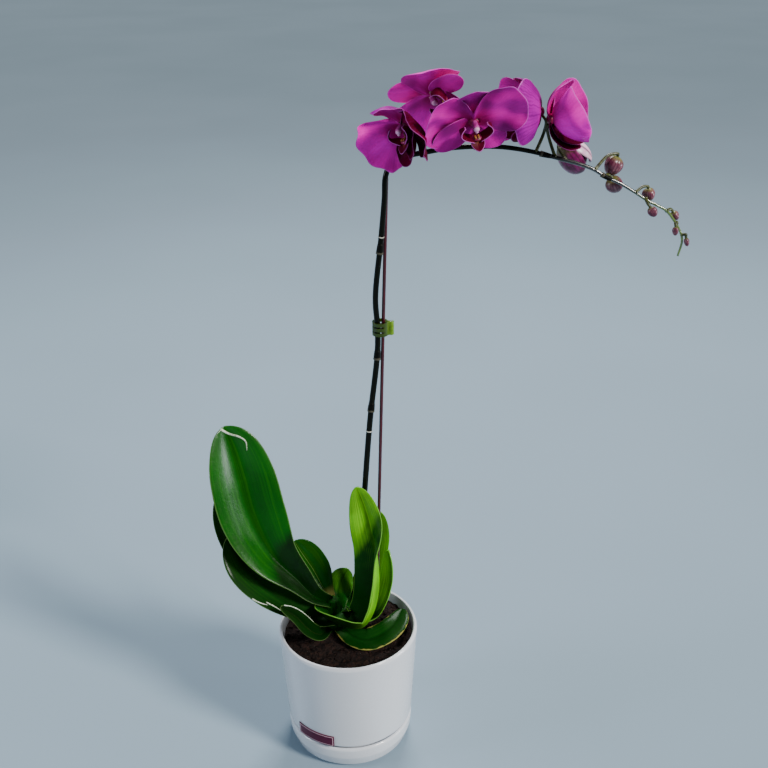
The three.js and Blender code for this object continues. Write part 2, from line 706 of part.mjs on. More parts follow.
function post(radius, low, high, sides = 12) {
  return welded(new THREE.CylinderGeometry(radius, radius, high - low, sides)
    .rotateX(Math.PI / 2)
    .translate(CLIP.pin, 0, (low + high) / 2));
}

// side is -1 for the jaw towards the viewer, which turns, and 1 for the one behind.
function jaw(side) {
  const { inner, wall, height, pinRadius, knuckle, lever, flare } = CLIP;
  const outer = inner + wall;
  const half = height / 2;
  const arc = (from, to, low, high) => (side > 0
    ? arcPlate(inner, outer, from, to, low, high)
    : arcPlate(inner, outer, 360 - to, 360 - from, low, high));
  const fingers = [-1, 0, 1].map((step) => arc(40, 168, step * 4.3 - 1.4, step * 4.3 + 1.4));
  const web = arc(14, 62, -half, half);
  const arm = new THREE.BoxGeometry(4.2, 1.4, height).translate(CLIP.pin - 3, side * 1.35, 0);
  const plate = new THREE.BoxGeometry(lever, 1.3, height)
    .translate(lever / 2 + 1.2, side * 0.2, 0)
    .rotateZ(radians(side * flare))
    .translate(CLIP.pin, 0, 0);
  const split = height / 6;
  const own = side > 0
    ? [[-split + GAP / 2, split - GAP / 2]]
    : [[-half, -split - GAP / 2], [split + GAP / 2, half]];
  const others = side > 0 ? [[-half - 1, -split], [split, half + 1]] : [[-split, split]];
  const middle = new THREE.BoxGeometry(30, 6, height + 2).translate(CLIP.pin, side * (GAP / 2 - 3), 0);
  const body = cut(fuse(...fingers, web, arm, plate), middle);
  const room = others.map(([low, high]) => post(knuckle + 0.35, low, high));
  const bore = post(pinRadius + GAP, -half - 1, half + 1);
  return cut(fuse(cut(body, ...room), ...own.map(([low, high]) => post(knuckle, low, high))), bore);
}

const clip = new THREE.Group();
clip.position.set(...CLIP.at);
plant.add(clip);
add('clip_jaw_fixed', jaw(1), CLIP_GREEN, clip);
add('clip_jaw_moving', jaw(-1), CLIP_GREEN, clip);
add('clip_pin', post(CLIP.pinRadius, -CLIP.height / 2 - 0.6, CLIP.height / 2 + 0.6, 10), STEEL, clip);

export default plant;
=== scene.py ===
"""A potted moth orchid, dressed over its solid model.

Each operator builds one piece, or one group of like pieces, in place of its plain solids.
The tables are in millimetres in the model's own frame, and the finished meshes in metres.
"""

import bisect
import math
import random

import bmesh
import bpy
from mathutils import Matrix, Vector, noise


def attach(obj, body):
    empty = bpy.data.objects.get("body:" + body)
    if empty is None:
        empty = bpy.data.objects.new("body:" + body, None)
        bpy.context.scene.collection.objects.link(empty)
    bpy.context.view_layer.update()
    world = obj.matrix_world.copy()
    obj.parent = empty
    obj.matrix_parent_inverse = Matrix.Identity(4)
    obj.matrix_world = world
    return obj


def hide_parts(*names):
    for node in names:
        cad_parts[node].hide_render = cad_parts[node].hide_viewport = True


bl_info = {
    "name": "Potted moth orchid",
    "version": (1, 0, 0),
    "blender": (4, 5, 0),
    "location": "3D View > Sidebar > Orchid",
    "description": "Builds a potted moth orchid with its flower spike, stake and clip",
    "category": "Object",
}

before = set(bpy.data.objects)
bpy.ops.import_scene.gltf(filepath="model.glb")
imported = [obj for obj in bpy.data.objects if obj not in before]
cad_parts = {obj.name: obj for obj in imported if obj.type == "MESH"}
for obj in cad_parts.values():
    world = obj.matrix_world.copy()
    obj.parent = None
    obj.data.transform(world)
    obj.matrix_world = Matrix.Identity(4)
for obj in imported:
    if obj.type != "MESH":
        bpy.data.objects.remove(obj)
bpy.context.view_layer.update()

MM = 0.001
PLANT = "plant"
JAW = "clip_jaw"

# Pot, saucer and label. Outlines and the ends of the pot's straight wall are (radius, height)
# points. The label lies from one angle to another round the pot, gap off a wall of about the
# given radius, and its pale line runs inset from its edge.

WALL_FOOT = (59.4, 28.7)
WALL_TOP = (64.6, 118.4)
POT_PROFILE = [
    (6, 8), (42, 8), (44, 6), (50, 6), (54.2, 26.1), (55.5, 28.4), (59, 29.2), (59.6, 30.6),
    WALL_TOP, (65, 123.2), (63.8, 126), (61.8, 126), (60.2, 117.4), (54.8, 29.3),
    (48, 15), (44, 12), (6, 12),
]
SAUCER_PROFILE = [
    (0, 0), (50, 0), (55.6, 4), (59, 14.5), (59.5, 23.6), (58.8, 25.4), (57, 26.3),
    (56.2, 25), (55, 14), (52.6, 7.3), (51, 5.7), (0, 5.7),
]
LABEL = {
    "from": -140.5, "to": -103, "low": 29.5, "high": 42, "thick": 0.6, "gap": 0.3,
    "radius": 60, "inset": 1.3,
}

# Potting mix: how far below its top each ring of its side lies, and the ring's share of
# the ring above it. CHIP_SIZES are half widths, and FIBRE_RISES says how far over the mix a
# fibre's points lie. Both keep a margin from the mix's edge.

MIX_HEIGHT = 117
MIX_RADIUS = 59.5
MIX_SIDES = [(8, 1), (82, 0.9)]
MIX_SEED = 11
CHIP_SIZES = (0.9, 2.4)
CHIP_MARGIN = 3
FIBRE_MARGIN = 8
FIBRE_RADIUS = 0.16
FIBRE_STEP = 2.6
FIBRE_RISES = (-0.3, 0.5, 0.5, -0.3)

# Crown, stake and clip. CLIP_RING_END says between which x the clip's ring ends.

CROWN_AT = (-14, 6)
CROWN_PROFILE = [(0, 104), (10, 104), (10, 118), (8.5, 142), (6.5, 150), (0, 153)]
STAKE_FOOT = (26.3, 25.3, 104)
STAKE_TOP = (40, 2, 557)
STAKE_RADIUS = 1.5
CLIP_RING_END = (38, 43)

# The stem, from the mix up along the stake and over the arch to its tip. Sheaths and rings
# start at a share of its length, are as long as a share of it, and stand off it by their
# flare or rise.

STEM = [
    (2, 13, 106), (4, 14, 130), (8, 16, 158), (13, 16, 196), (18, 14, 265), (24, 11, 338),
    (31, 6.2, 402), (31.4, 5.7, 424), (30, 3, 452), (35, 0, 502), (38, -3, 536),
    (39, -3, 553), (43, -2, 562), (52, -1, 567), (69, 0, 570.5), (88, 0, 573.5),
    (107, 0, 574.5), (126, 0, 574), (141, 0, 572), (153, 0, 569.5), (172, 0, 564.5),
    (186, 0, 560.5), (198, 0, 556), (208, 0, 550), (219, 0, 545), (231, 0, 538),
    (242, 0, 531), (250, 0, 527), (257, 0, 523), (266, 0, 512), (271, 0, 503),
    (272, 0, 497), (270, 0, 486),
]
STEM_RADII = [3, 2.9, 2.7, 2.6, 2.5, 2.4, 2.3, 2.1, 1.9, 1.6, 1.2, 0.9]
SHEATHS = [0.18, 0.33, 0.4, 0.53, 0.64, 0.72, 0.79, 0.86]
SHEATH_LENGTH = 0.012
SHEATH_FLARE = 0.7
SCAR_RINGS = [0.302, 0.403, 0.549]
SCAR_RING_LENGTH = 0.0012
SCAR_RING_RISE = 0.15

# Leaves. The spine runs from foot to tip, the upper face looks along face, and the halves
# fold up by fold degrees. half is half the width at the belly, neck is the foot's share of
# it, and a low bluntness gives a pointed tip.
# shade is painted shade: it darkens a leaf's old green where the leaf stands in shadow, and
# dulls its shine. young turns the blade towards the young green, and foot is painted shadow
# that darkens the foot.
# greens_and_shadow are the places along the leaf between which the foot's green, partly old
# green and partly painted shade, turns into the blade's, and shadow_slant moves them up
# towards one edge, so that the painted shadow ends along a slanting line.
# rib, petiole and torn say how strongly a pale midrib, a yellow stalk and a dry edge show.
# scars are thin dry threads: a half width, and places on the leaf, each across from -1 to 1
# and along from 0 to 1.
# PLAIN_LEAF says what holds where a leaf doesn't, and UNDERSIDE what differs on its lower face.

PLAIN_LEAF = {
    "bluntness": 2.4, "shade": 0.0, "young": 0.0, "foot": 0.0, "greens_and_shadow": (0.2, 0.4),
    "shadow_slant": 0.0, "rib": 0.0, "petiole": 0.0, "torn": 0.0, "scars": [],
}
UNDERSIDE = {"greens_and_shadow": (0.1, 0.3), "shadow_slant": 0.0}
SCAR_RISE = 0.8

LEAVES = {
    # Painted shadow: its foot is darkened up to a slanting line, for a shadow cast over its lower
    # part.
    "leaf_left_tall": {
        "spine": [(-17, 3, 147), (-31, 0, 157), (-46, 4, 173), (-69, 10, 198), (-86, 18, 236),
                  (-94, 25, 270), (-100, 30, 296), (-107, 34, 319)],
        "face": [(0.2, -0.5, 0.8), (0.3, -0.85, 0.4), (0.35, -0.85, 0.3)],
        "fold": [52, 34, 26], "half": 36, "neck": 0.26, "belly": 0.62,
        "greens_and_shadow": (0.14, 0.21), "shadow_slant": -0.12, "foot": 0.85,
        "scars": [
            (1.1, [(-0.7, 0.965), (0.1, 0.875), (0.47, 0.817), (0.57, 0.775), (0.45, 0.717)]),
        ],
    },
    "leaf_left_back": {
        "spine": [(-18, 9.6, 139.4), (-31, 15.5, 145.4), (-45, 16, 150), (-68, 22, 162),
                  (-91, 30, 184), (-106, 38, 214), (-114, 44, 250)],
        "face": [(0.2, -0.4, 0.9), (0.35, -0.7, 0.6), (0.4, -0.85, 0.3)],
        "fold": [40, 30, 20], "half": 24, "neck": 0.35, "belly": 0.6, "shade": 0.75,
    },
    "leaf_left_under": {
        "spine": [(-16, -0.5, 128), (-26, -7, 135), (-37, -7, 144), (-54, -5, 153), (-75, 1, 167),
                  (-95, 8, 187), (-108, 16, 214)],
        "face": [(0.1, -0.3, 0.95), (0.3, -0.5, 0.8), (0.4, -0.8, 0.4)],
        "fold": [40, 28, 20], "half": 22, "neck": 0.4, "belly": 0.55, "shade": 0.8,
        "scars": [
            (0.6, [(-0.97, 0.42), (-0.9, 0.37), (-0.8, 0.33)]),
            (0.6, [(-0.7, 0.345), (-0.68, 0.3), (-0.75, 0.25)]),
        ],
    },
    "leaf_left_inner": {
        "spine": [(-15, 9, 145), (-24, 16, 158), (-33, 24, 172), (-43, 31, 185), (-50, 36, 195)],
        "face": [(-0.1, -0.6, 0.8), (-0.1, -0.8, 0.5), (0, -0.9, 0.3)],
        "fold": [40, 28, 20], "half": 20, "neck": 0.3, "belly": 0.55,
        "young": 0.05, "petiole": 0.9, "rib": 0.8,
    },
    "leaf_left_low": {
        "spine": [(-18, 1, 121), (-25, -16, 126), (-34, -27, 140), (-46, -30, 158),
                  (-59, -30, 169)],
        "face": [(0.1, -0.5, 0.8), (0.2, -0.6, 0.7), (0.3, -0.6, 0.7)],
        "fold": [34, 40, 34], "half": 9, "neck": 0.6, "belly": 0.5, "shade": 1.0,
        "rib": 0.2, "scars": [(0.35, [(1, 0.9), (1, 0.76), (1, 0.64), (1, 0.53), (1, 0.4)])],
    },
    # Painted shade: it is darkened, and its foot is dark up to a slanting line, for the shadow
    # its near half casts on its far half.
    "leaf_right_tall": {
        "spine": [(-12, -2, 137), (-16, -14, 142), (-10, -20, 144), (1, -22, 139),
                  (14, -19, 137), (24, -13, 150), (29, -8, 174), (28, -4, 200), (24, -1, 226),
                  (18, 2, 251), (11, 4, 273)],
        "face": [(0.2, 0.5, 0.9), (0, 0.3, 1), (-0.3, 0, 0.95), (-0.8, -0.4, 0.4),
                 (-0.8, -0.55, 0.1), (-0.4, -0.9, 0.2), (-0.1, -0.95, 0.2)],
        "fold": [40, 45, 55, 55, 46, 30, 15], "half": 29, "neck": 0.75, "belly": 0.5,
        "bluntness": 1.3, "shade": 0.5, "young": 1.0, "greens_and_shadow": (0.42, 0.5), "shadow_slant": -0.27,
    },
    "leaf_right_outer": {
        "spine": [(-10, 5, 127), (4, 2, 125), (16, 5, 125), (28, 8, 131), (37, 9, 148),
                  (41, 10, 167), (41, 11, 184), (39, 12, 200)],
        "face": [(-0.4, 0, 1), (-0.8, -0.4, 0.5), (-0.85, -0.5, 0.2), (-0.8, -0.55, 0.1)],
        "fold": [50, 50, 45, 30], "half": 16, "neck": 0.6, "belly": 0.6,
        "young": 1.0, "bluntness": 1.4,
    },
    "leaf_right_inner": {
        "spine": [(-10, 12, 134), (-9, 23, 147), (-6, 27, 157), (0, 31, 166)],
        "face": [(0, -0.9, 0.4), (0.1, -0.9, 0.3), (0.1, -0.9, 0.3)],
        "fold": [25, 18, 12], "half": 13, "neck": 0.6, "belly": 0.5, "shade": 0.2,
        "young": 0.2,
    },
    "leaf_right_back": {
        "spine": [(-12, 11, 129), (-5, 24, 129), (8, 32, 138), (22, 35, 166), (28, 38, 192),
                  (31, 40, 224)],
        "face": [(-0.2, -0.9, 0.3), (-0.3, -0.9, 0.2), (-0.2, -0.9, 0.3)],
        "fold": [35, 25, 15], "half": 14, "neck": 0.5, "belly": 0.6, "shade": 0.1,
        "young": 0.5,
    },
    "leaf_right_low": {
        "spine": [(-5, 0, 121.5), (4, -13, 121.5), (18, -20, 121.5), (34, -13, 123),
                  (46, 2, 125), (52, 18, 128)],
        "face": [(0, 0, 1), (0, -0.2, 1), (-0.2, -0.2, 1)],
        "fold": [12, 20, 14], "half": 14, "neck": 0.7, "belly": 0.45, "shade": 0.75,
        "torn": 0.4,
    },
}

# Flowers. Each has its hub at at, looks along face, and its dorsal sepal points along up.
# A tepal stands at its turn plus shift round the hub, leans forward by open and bends on by
# curl, all in degrees. The five are the right and left petal, the dorsal sepal, and the
# right and left lateral sepal. ridge is the height of a fold along the left petal, ruffle
# scales the waves of the rims, and spread the gap between the lip's side lobes.
# The pedicel runs from the stem at from, by way of by, and meets the hub at the angle entry.
# narrow narrows a tepal's foot, lift is how far it stands off the hub along face, and cupping
# raises its sides as it leans forward.

PETAL = {"length": 41, "width": 45, "narrow": 0.3, "lift": 1.3, "cupping": 0.6, "ruffle": 0.8}
DORSAL = {"length": 37, "width": 25, "narrow": 0.12, "lift": -1.1, "cupping": 0.3, "ruffle": 0.3}
LATERAL = {"length": 36, "width": 24, "narrow": 0.1, "lift": -1.1, "cupping": 0.3, "ruffle": 0.3}
TEPALS = [(PETAL, 12), (PETAL, 168), (DORSAL, 90), (LATERAL, -56), (LATERAL, -124)]
HUB_RADIUS = 4.2
HUB_DEPTH = 3.4
HUB_BACK = -0.8

# The column's line, and its balls: centre, radii and material. They are the hub, the cap,
# its beak and the hollow under it. LOBE is the lip's middle one, which starts at LOBE_FOOT.

COLUMN_LINE = [(0, 0.4, 0), (0, 0.8, 4), (0, 0, 8)]
COLUMN_BALLS = [
    ((0, 0, HUB_BACK), (HUB_RADIUS, HUB_RADIUS, HUB_DEPTH), 2),
    ((0, -0.2, 8.4), (2.2, 2, 1.8), 1),
    ((0, -1.9, 9.2), (1.2, 1.0, 1.2), 1),
    ((0, -2.1, 6.4), (1.5, 0.8, 1.4), 2),
]
LIP_CLAW = [(0, -1, -1), (0, -5, 3.5), (0, -8.5, 6)]
LOBE_FOOT = (0, -9, 8)
LOBE = {
    "length": 11, "width": 10, "narrow": -0.3, "lift": 0, "turn": -90, "lean": 55, "curl": 30,
    "cup": 0.2, "ruffle": 0,
}

# The first of two material slots, for a tepal's face and its back. Petals are lilac behind,
# and some are even magenta on both sides. The bright ones are painted light, a lighter
# magenta on both sides for tepals that stand in the light, and the shadowed ones are painted
# shade, a dark crimson on both sides for tepals that stand in shadow.

SKINS = {"petal": 0, "shadowed": 2, "bright": 4, "even": 6}

BLOOMS = [
    {
        "at": (52.5, -13.2, 594.3), "face": (-0.49, -0.72, -0.49), "up": (-0.57, -0.16, 0.81),
        "size": 0.95, "open": (-15, 17, -20, 14, 20), "shift": (-26, 18, 0, 6, 42),
        "curl": (97, 52, 112, 75, 60), "spread": 0.8,
        "from": (49, -1.5, 565.5), "by": (44, 4, 584), "entry": 0,
        "skins": ("shadowed", "bright", "petal", "shadowed", "shadowed"), "ridge": 4, "ruffle": 3,
    },
    {
        "at": (75.3, 10.7, 611.7), "face": (0.05, -0.78, -0.62), "up": (-1, -0.05, -0.03),
        "size": 0.94, "open": (-29, 0, -16, 15, 20), "shift": (-3, -13, 3, 26, 14),
        "curl": (82, 20, 26, 1, 20), "spread": 1,
        "from": (88, 0, 573.5), "by": (93, 25, 597), "entry": 0,
        "skins": ("bright", "bright", "bright", "bright", "petal"), "ridge": 0, "ruffle": 1,
    },
    {
        "at": (102.6, -31.6, 600.1), "face": (0.19, -0.84, -0.51), "up": (-0.09, -0.53, 0.84),
        "size": 0.98, "open": (-1, -24, -26, 2, 7), "shift": (8, -3, -3, 1, -29),
        "curl": (9, 66, 79, 1, 1), "spread": 1,
        "from": (107, 0, 574.5), "by": (104, -2, 592), "entry": 0,
        "skins": ("petal", "petal", "petal", "petal", "petal"), "ridge": 0, "ruffle": 1,
    },
    {
        "at": (154.5, 4.5, 599), "face": (-0.96, 0.08, 0), "up": (0, 0.36, 0.93),
        "size": 1.03, "open": (-24, 20, -14, -10, 8), "shift": (-24, -10, 8, -10, 0),
        "curl": (114, 60, 110, 108, 92), "spread": 0.5,
        "from": (153, 0, 569.5), "by": (159.5, 6, 584), "entry": 55,
        "skins": ("petal", "bright", "petal", "shadowed", "shadowed"), "ridge": 0, "ruffle": 1,
    },
    {
        "at": (164, 1, 594.5), "face": (0.85, -0.47, 0.24), "up": (-0.28, -0.02, 0.96),
        "size": 1.02, "open": (-17, 12, -12, -4, -19), "shift": (-16, 25, -16, 0, 36),
        "curl": (82, 107, 106, 84, 108), "spread": 0.4,
        "from": (168, 0, 565.5), "by": (163, 5, 580), "entry": 55,
        "skins": ("even", "bright", "even", "shadowed", "shadowed"), "ridge": 0, "ruffle": 1,
    },
]

# Buds: centre, the way the tip points, length and radius, and where the pedicel leaves the
# stem and passes. The first is opening, with a sepal at each of three turns; one of them is
# painted pale as lit, and the other two and the core are painted a dark shaded magenta.

SEPAL_TURNS = (90, 210, 330)
LIT_SEPAL = 210

BUDS = [
    {"at": (185.5, 20, 562), "tip": (0.55, 0.15, -0.6), "long": 27, "radius": 11.5,
     "from": (176, 0, 563.5), "by": (171.5, 9, 571)},
    {"at": (214.5, 9.4, 556.5), "tip": (-0.35, 0.05, -0.9), "long": 15.5, "radius": 7.2,
     "from": (199, 0, 556), "by": (210, 6, 565.5)},
    {"at": (217, 9, 541.5), "tip": (0.4, 0.3, -0.75), "long": 14, "radius": 6.6,
     "from": (207, 0, 551), "by": (210.5, 5, 550.5)},
    {"at": (243.5, 5, 534.6), "tip": (0.2, 0.1, -0.95), "long": 10.5, "radius": 5,
     "from": (232, 0, 538), "by": (238, 3, 541.5)},
    {"at": (245, -6, 524), "tip": (0.5, -0.2, -0.8), "long": 8.5, "radius": 3.7,
     "from": (240, 0, 533), "by": (241, -4, 530)},
    {"at": (265.5, 4.4, 517.5), "tip": (0.5, 0.2, -0.8), "long": 8.5, "radius": 3.4,
     "from": (257, 0, 523), "by": (261, 3, 523.3)},
    {"at": (264.8, -4, 507.6), "tip": (0, -0.2, -1), "long": 7, "radius": 2.4,
     "from": (266, 0, 513), "by": (264.5, -3, 513.2)},
    {"at": (275.3, -2, 498), "tip": (0.2, -0.2, -1), "long": 7, "radius": 2.1,
     "from": (271, 0, 503.5), "by": (274, -1.6, 504)},
]

# Stage, in metres. The camera looks along +Y, pitched down and rolled in degrees. Lights
# look at AIM, and the soft ones have a place, a power in watts and a colour.

CAMERA_AT = (0.0362, -0.7925, 0.759)
CAMERA_PITCH = 25.8
CAMERA_ROLL = -0.6
AIM = (0.05, 0, 0.35)
KEY_AT = (1.2, -0.8, 1.3)
KEY_ANGLE = 12
SOFT_LIGHTS = {
    "side": ((2.8, -0.28, 0.32), 24, "#f4f8ff"),
    "fill": ((-1.7, -0.4, 0.9), 15, "#eaf2ff"),
    "back": ((0.2, 1.1, 1.9), 34, "#ffffff"),
}
SOFT_LIGHT_SIZE = 0.6
ROOM_COLOUR = "#c8d2dc"
ROOM_STRENGTH = 0.22
FLOOR_SIZE = 30


def linear(hex_color):
    """An sRGB hex colour as linear red, green and blue."""
    channels = [int(hex_color[i:i + 2], 16) / 255 for i in (1, 3, 5)]
    return tuple(c / 12.92 if c <= 0.04045 else ((c + 0.055) / 1.055) ** 2.4 for c in channels)


def colour_setting(name, description, hex_color):
    """A colour that the user can change."""
    return bpy.props.FloatVectorProperty(
        name=name, description=description, subtype="COLOR", size=3, min=0, max=1,
        default=linear(hex_color),
    )


def length_setting(name, description, millimetres):
    """A length that the user can change."""
    return bpy.props.FloatProperty(
        name=name, description=description, unit="LENGTH", min=0, default=millimetres * MM,
    )


# Settings


class OrchidPotSettings(bpy.types.PropertyGroup):
    """The glazed pot, its saucer and its label."""

    glaze: colour_setting("Glaze", "Colour of the pot and the saucer", "#dadee4")
    gloss: bpy.props.FloatProperty(
        name="Roughness", description="Roughness of the glaze", default=0.22, min=0, max=1,
        subtype="FACTOR",
    )
    label: colour_setting("Label", "Colour of the label", "#560c34")
    label_line: colour_setting("Label line", "Colour of the line inside its edge", "#f0c8d0")


class OrchidMixSettings(bpy.types.PropertyGroup):
    """The bark and coir that the orchid is potted in."""

    bark: colour_setting("Bark", "Colour of the bark", "#22110b")
    coir: colour_setting("Coir", "Colour of the fibres", "#3d2b1f")
    chips: bpy.props.IntProperty(
        name="Chips", description="Number of loose bark chips", default=260, min=0, max=600,
    )
    fibres: bpy.props.IntProperty(
        name="Fibres", description="Number of loose fibres", default=70, min=0, max=300,
    )


class OrchidLeafSettings(bpy.types.PropertyGroup):
    """The leaves and the crown that they grow from."""

    thickness: length_setting("Thickness", "Thickness at the midrib", 1.8)
    vein_spacing: length_setting("Vein spacing", "Distance between the long veins", 2.2)
    old: colour_setting("Old leaf", "Colour of a full-grown leaf", "#0c5404")
    young: colour_setting("Young leaf", "Colour of a leaf in its first year", "#62b408")
    under: colour_setting("Underside", "Colour of the lower face", "#173c0a")
    petiole: colour_setting("Petiole", "Colour of an ageing leaf's foot", "#cdbb62")
    scar: colour_setting("Scar", "Colour of dry torn edges", "#dfe8d6")


class OrchidFlowerSettings(bpy.types.PropertyGroup):
    """The open flowers."""

    thickness: length_setting("Tepal thickness", "Thickness of petals and sepals", 0.8)
    petal: colour_setting("Petal", "Colour of petals and sepals", "#c40098")
    # Painted light: the bright petal colour is a lighter copy of the petal for tepals that stand
    # in the light.
    bright: colour_setting("Bright petal", "Colour of the brightest petals", "#ff00cc")
    # Painted shade: the sepal colour is a dark crimson for tepals that stand in shadow.
    sepal: colour_setting("Deep sepal", "Colour of the darkest sepals", "#52001e")
    petal_back: colour_setting("Petal back", "Colour of their backs", "#a8009c")
    throat: colour_setting("Throat", "Colour near the centre", "#a00058")
    vein: colour_setting("Vein", "Colour of the veins", "#640060")
    # The rim is partly a paler edge and partly a painted rim highlight.
    rim: colour_setting("Rim", "Colour of the thin pale rim", "#d460c8")
    lip: colour_setting("Lip", "Colour of the lip", "#56001e")
    gold: colour_setting("Lip stripes", "Colour of the stripes in the lip", "#c98a32")
    cap: colour_setting("Column cap", "Colour of the cap on the column", "#d88cbc")


class OrchidSpikeSettings(bpy.types.PropertyGroup):
    """The flower spike and its buds."""

    stem: colour_setting("Stem", "Colour of the stem", "#070805")
    tip: colour_setting("Tip", "Colour of the stem's tip", "#5f7a2a")
    pedicel: colour_setting("Pedicel", "Colour of the flower stalks", "#4e5526")
    bud: colour_setting("Bud", "Colour of the buds", "#60203a")
    bud_foot: colour_setting("Bud foot", "Colour of their green ends", "#75803a")


class OrchidSupportSettings(bpy.types.PropertyGroup):
    """The stake and the claw clip that hold the spike."""

    stake: colour_setting("Stake", "Colour of the stake", "#4c1220")
    clip: colour_setting("Clip", "Colour of the clip's plastic", "#78a414")


class OrchidStageSettings(bpy.types.PropertyGroup):
    """The floor, the lights and the camera."""

    floor: colour_setting("Floor", "Colour of the floor", "#8ca2b2")
    focal_length: bpy.props.FloatProperty(
        name="Focal length", description="Focal length for a 36 mm wide frame", default=49.22,
        min=10, max=200, unit="CAMERA",
    )
    key_strength: bpy.props.FloatProperty(
        name="Key light", description="Strength of the main light", default=4, min=0,
    )


SETTINGS = {
    "orchid_pot": OrchidPotSettings,
    "orchid_mix": OrchidMixSettings,
    "orchid_leaves": OrchidLeafSettings,
    "orchid_flowers": OrchidFlowerSettings,
    "orchid_spike": OrchidSpikeSettings,
    "orchid_support": OrchidSupportSettings,
    "orchid_stage": OrchidStageSettings,
}

# Lines and sheets


class Route:
    """A smooth line through points, followed from 0 to 1 along its length."""

    def __init__(self, points):
        self.points = [Vector(point) for point in points]
        samples = [self.point(i / 200) for i in range(201)]
        self.lengths = [0.0]
        for here, there in zip(samples, samples[1:]):
            self.lengths.append(self.lengths[-1] + (there - here).length)

    def point(self, t):
        """The point at t, which counts the given points evenly."""
        points = self.points
        last = len(points) - 1
        place = max(0.0, min(1.0, t)) * last
        index = min(int(place), last - 1)
        w = place - index
        p1, p2 = points[index], points[index + 1]
        p0 = points[index - 1] if index > 0 else 2 * p1 - p2
        p3 = points[index + 2] if index + 2 <= last else 2 * p2 - p1
        d0, d1, d2 = (max((b - a).length, 1e-6) ** 0.5 for a, b in ((p0, p1), (p1, p2), (p2, p3)))
        m1 = ((p1 - p0) / d0 - (p2 - p0) / (d0 + d1) + (p2 - p1) / d1) * d1
        m2 = ((p2 - p1) / d1 - (p3 - p1) / (d1 + d2) + (p3 - p2) / d2) * d1
        return (
            p1 + m1 * w + (-3 * p1 + 3 * p2 - 2 * m1 - m2) * w**2
            + (2 * p1 - 2 * p2 + m1 + m2) * w**3
        )

    def at(self, s):
        """The point at s, a share of the whole length."""
        target = max(0.0, min(1.0, s)) * self.lengths[-1]
        i = max(1, min(200, bisect.bisect_left(self.lengths, target)))
        step = self.lengths[i] - self.lengths[i - 1]
        return self.point((i - 1 + (target - self.lengths[i - 1]) / step) / 200)

    def direction(self, s):
        """The way the line runs at s."""
        return (self.at(min(1, s + 2e-3)) - self.at(max(0, s - 2e-3))).normalized()


def blend(values, t):
    """The value at t, from 0 to 1, in a list of evenly spaced values."""
    place = max(0.0, min(t, 0.99999)) * (len(values) - 1)
    index = int(place)
    return values[index] + (values[index + 1] - values[index]) * (place - index)


def new_bmesh():
    """An empty bmesh with a UV map and a weight for the wall's thickness."""
    bm = bmesh.new()
    bm.loops.layers.uv.new("UVMap")
    bm.verts.layers.deform.verify()
    return bm


def add_sheet(bm, columns, rows, place, weight=None, material=0):
    """A grid whose corners go to place(v, u): v is -1 to 1 across, u is 0 to 1 along."""
    verts = bmesh.ops.create_grid(
        bm, x_segments=columns, y_segments=rows, size=1, calc_uvs=True
    )["verts"]
    thickness = bm.verts.layers.deform.verify()
    for face in {face for vert in verts for face in vert.link_faces}:
        face.material_index = material
    for vert in verts:
        v, u = vert.co.x, (vert.co.y + 1) / 2
        vert[thickness][0] = weight(v, u) if weight else 1
        vert.co = place(v, u)
    return verts


def close_tube(bm, verts):
    """Welds a rolled sheet's seam, closes its ends and turns its faces outwards."""
    bmesh.ops.remove_doubles(bm, verts=verts, dist=1e-4)
    verts = [vert for vert in verts if vert.is_valid]
    rims = {edge for vert in verts for edge in vert.link_edges if edge.is_boundary}
    index = verts[0].link_faces[0].material_index
    for cap in bmesh.ops.holes_fill(bm, edges=list(rims))["faces"]:
        cap.material_index = index
    faces = list({face for vert in verts for face in vert.link_faces})
    bmesh.ops.recalc_face_normals(bm, faces=faces)


def add_stalk(bm, at, radius_at, steps, sides, material=0):
    """A round stalk along at(s), closed at both ends."""
    points = [at(i / steps) for i in range(steps + 1)]
    ways = [
        (points[min(steps, i + 1)] - points[max(0, i - 1)]).normalized()
        for i in range(steps + 1)
    ]
    side = ways[0].orthogonal().normalized()
    rings = []
    for way in ways:
        side = (side - way * side.dot(way)).normalized()
        rings.append((side, way.cross(side)))

    def place(v, u):
        i = round(u * steps)
        across, over = rings[i]
        angle = math.pi * v
        return points[i] + (across * math.cos(angle) + over * math.sin(angle)) * radius_at(u)

    close_tube(bm, add_sheet(bm, sides, steps, place, material=material))


def add_ball(bm, centre, radii, material=0, segments=24, rings=14):
    """An ellipsoid."""
    shape = Matrix.Translation(centre) @ Matrix.Diagonal((*radii, 1))
    verts = bmesh.ops.create_uvsphere(
        bm, u_segments=segments, v_segments=rings, radius=1, matrix=shape, calc_uvs=True
    )["verts"]
    for face in {face for vert in verts for face in vert.link_faces}:
        face.material_index = material
    return verts


def turned(profile, segments, centre=(0, 0)):
    """A turned shape from (radius, height) points. Points on the axis close it."""
    bm = new_bmesh()
    rim = [bm.verts.new((radius, 0, height)) for radius, height in profile]
    edges = [bm.edges.new(pair) for pair in zip(rim, rim[1:])]
    bmesh.ops.spin(
        bm, geom=rim + edges, cent=(0, 0, 0), axis=(0, 0, 1), angle=math.tau,
        steps=segments, use_merge=True,
    )
    bmesh.ops.remove_doubles(bm, verts=bm.verts, dist=1e-4)
    bmesh.ops.recalc_face_normals(bm, faces=bm.faces)
    bmesh.ops.translate(bm, vec=(*centre, 0), verts=bm.verts)
    return bm


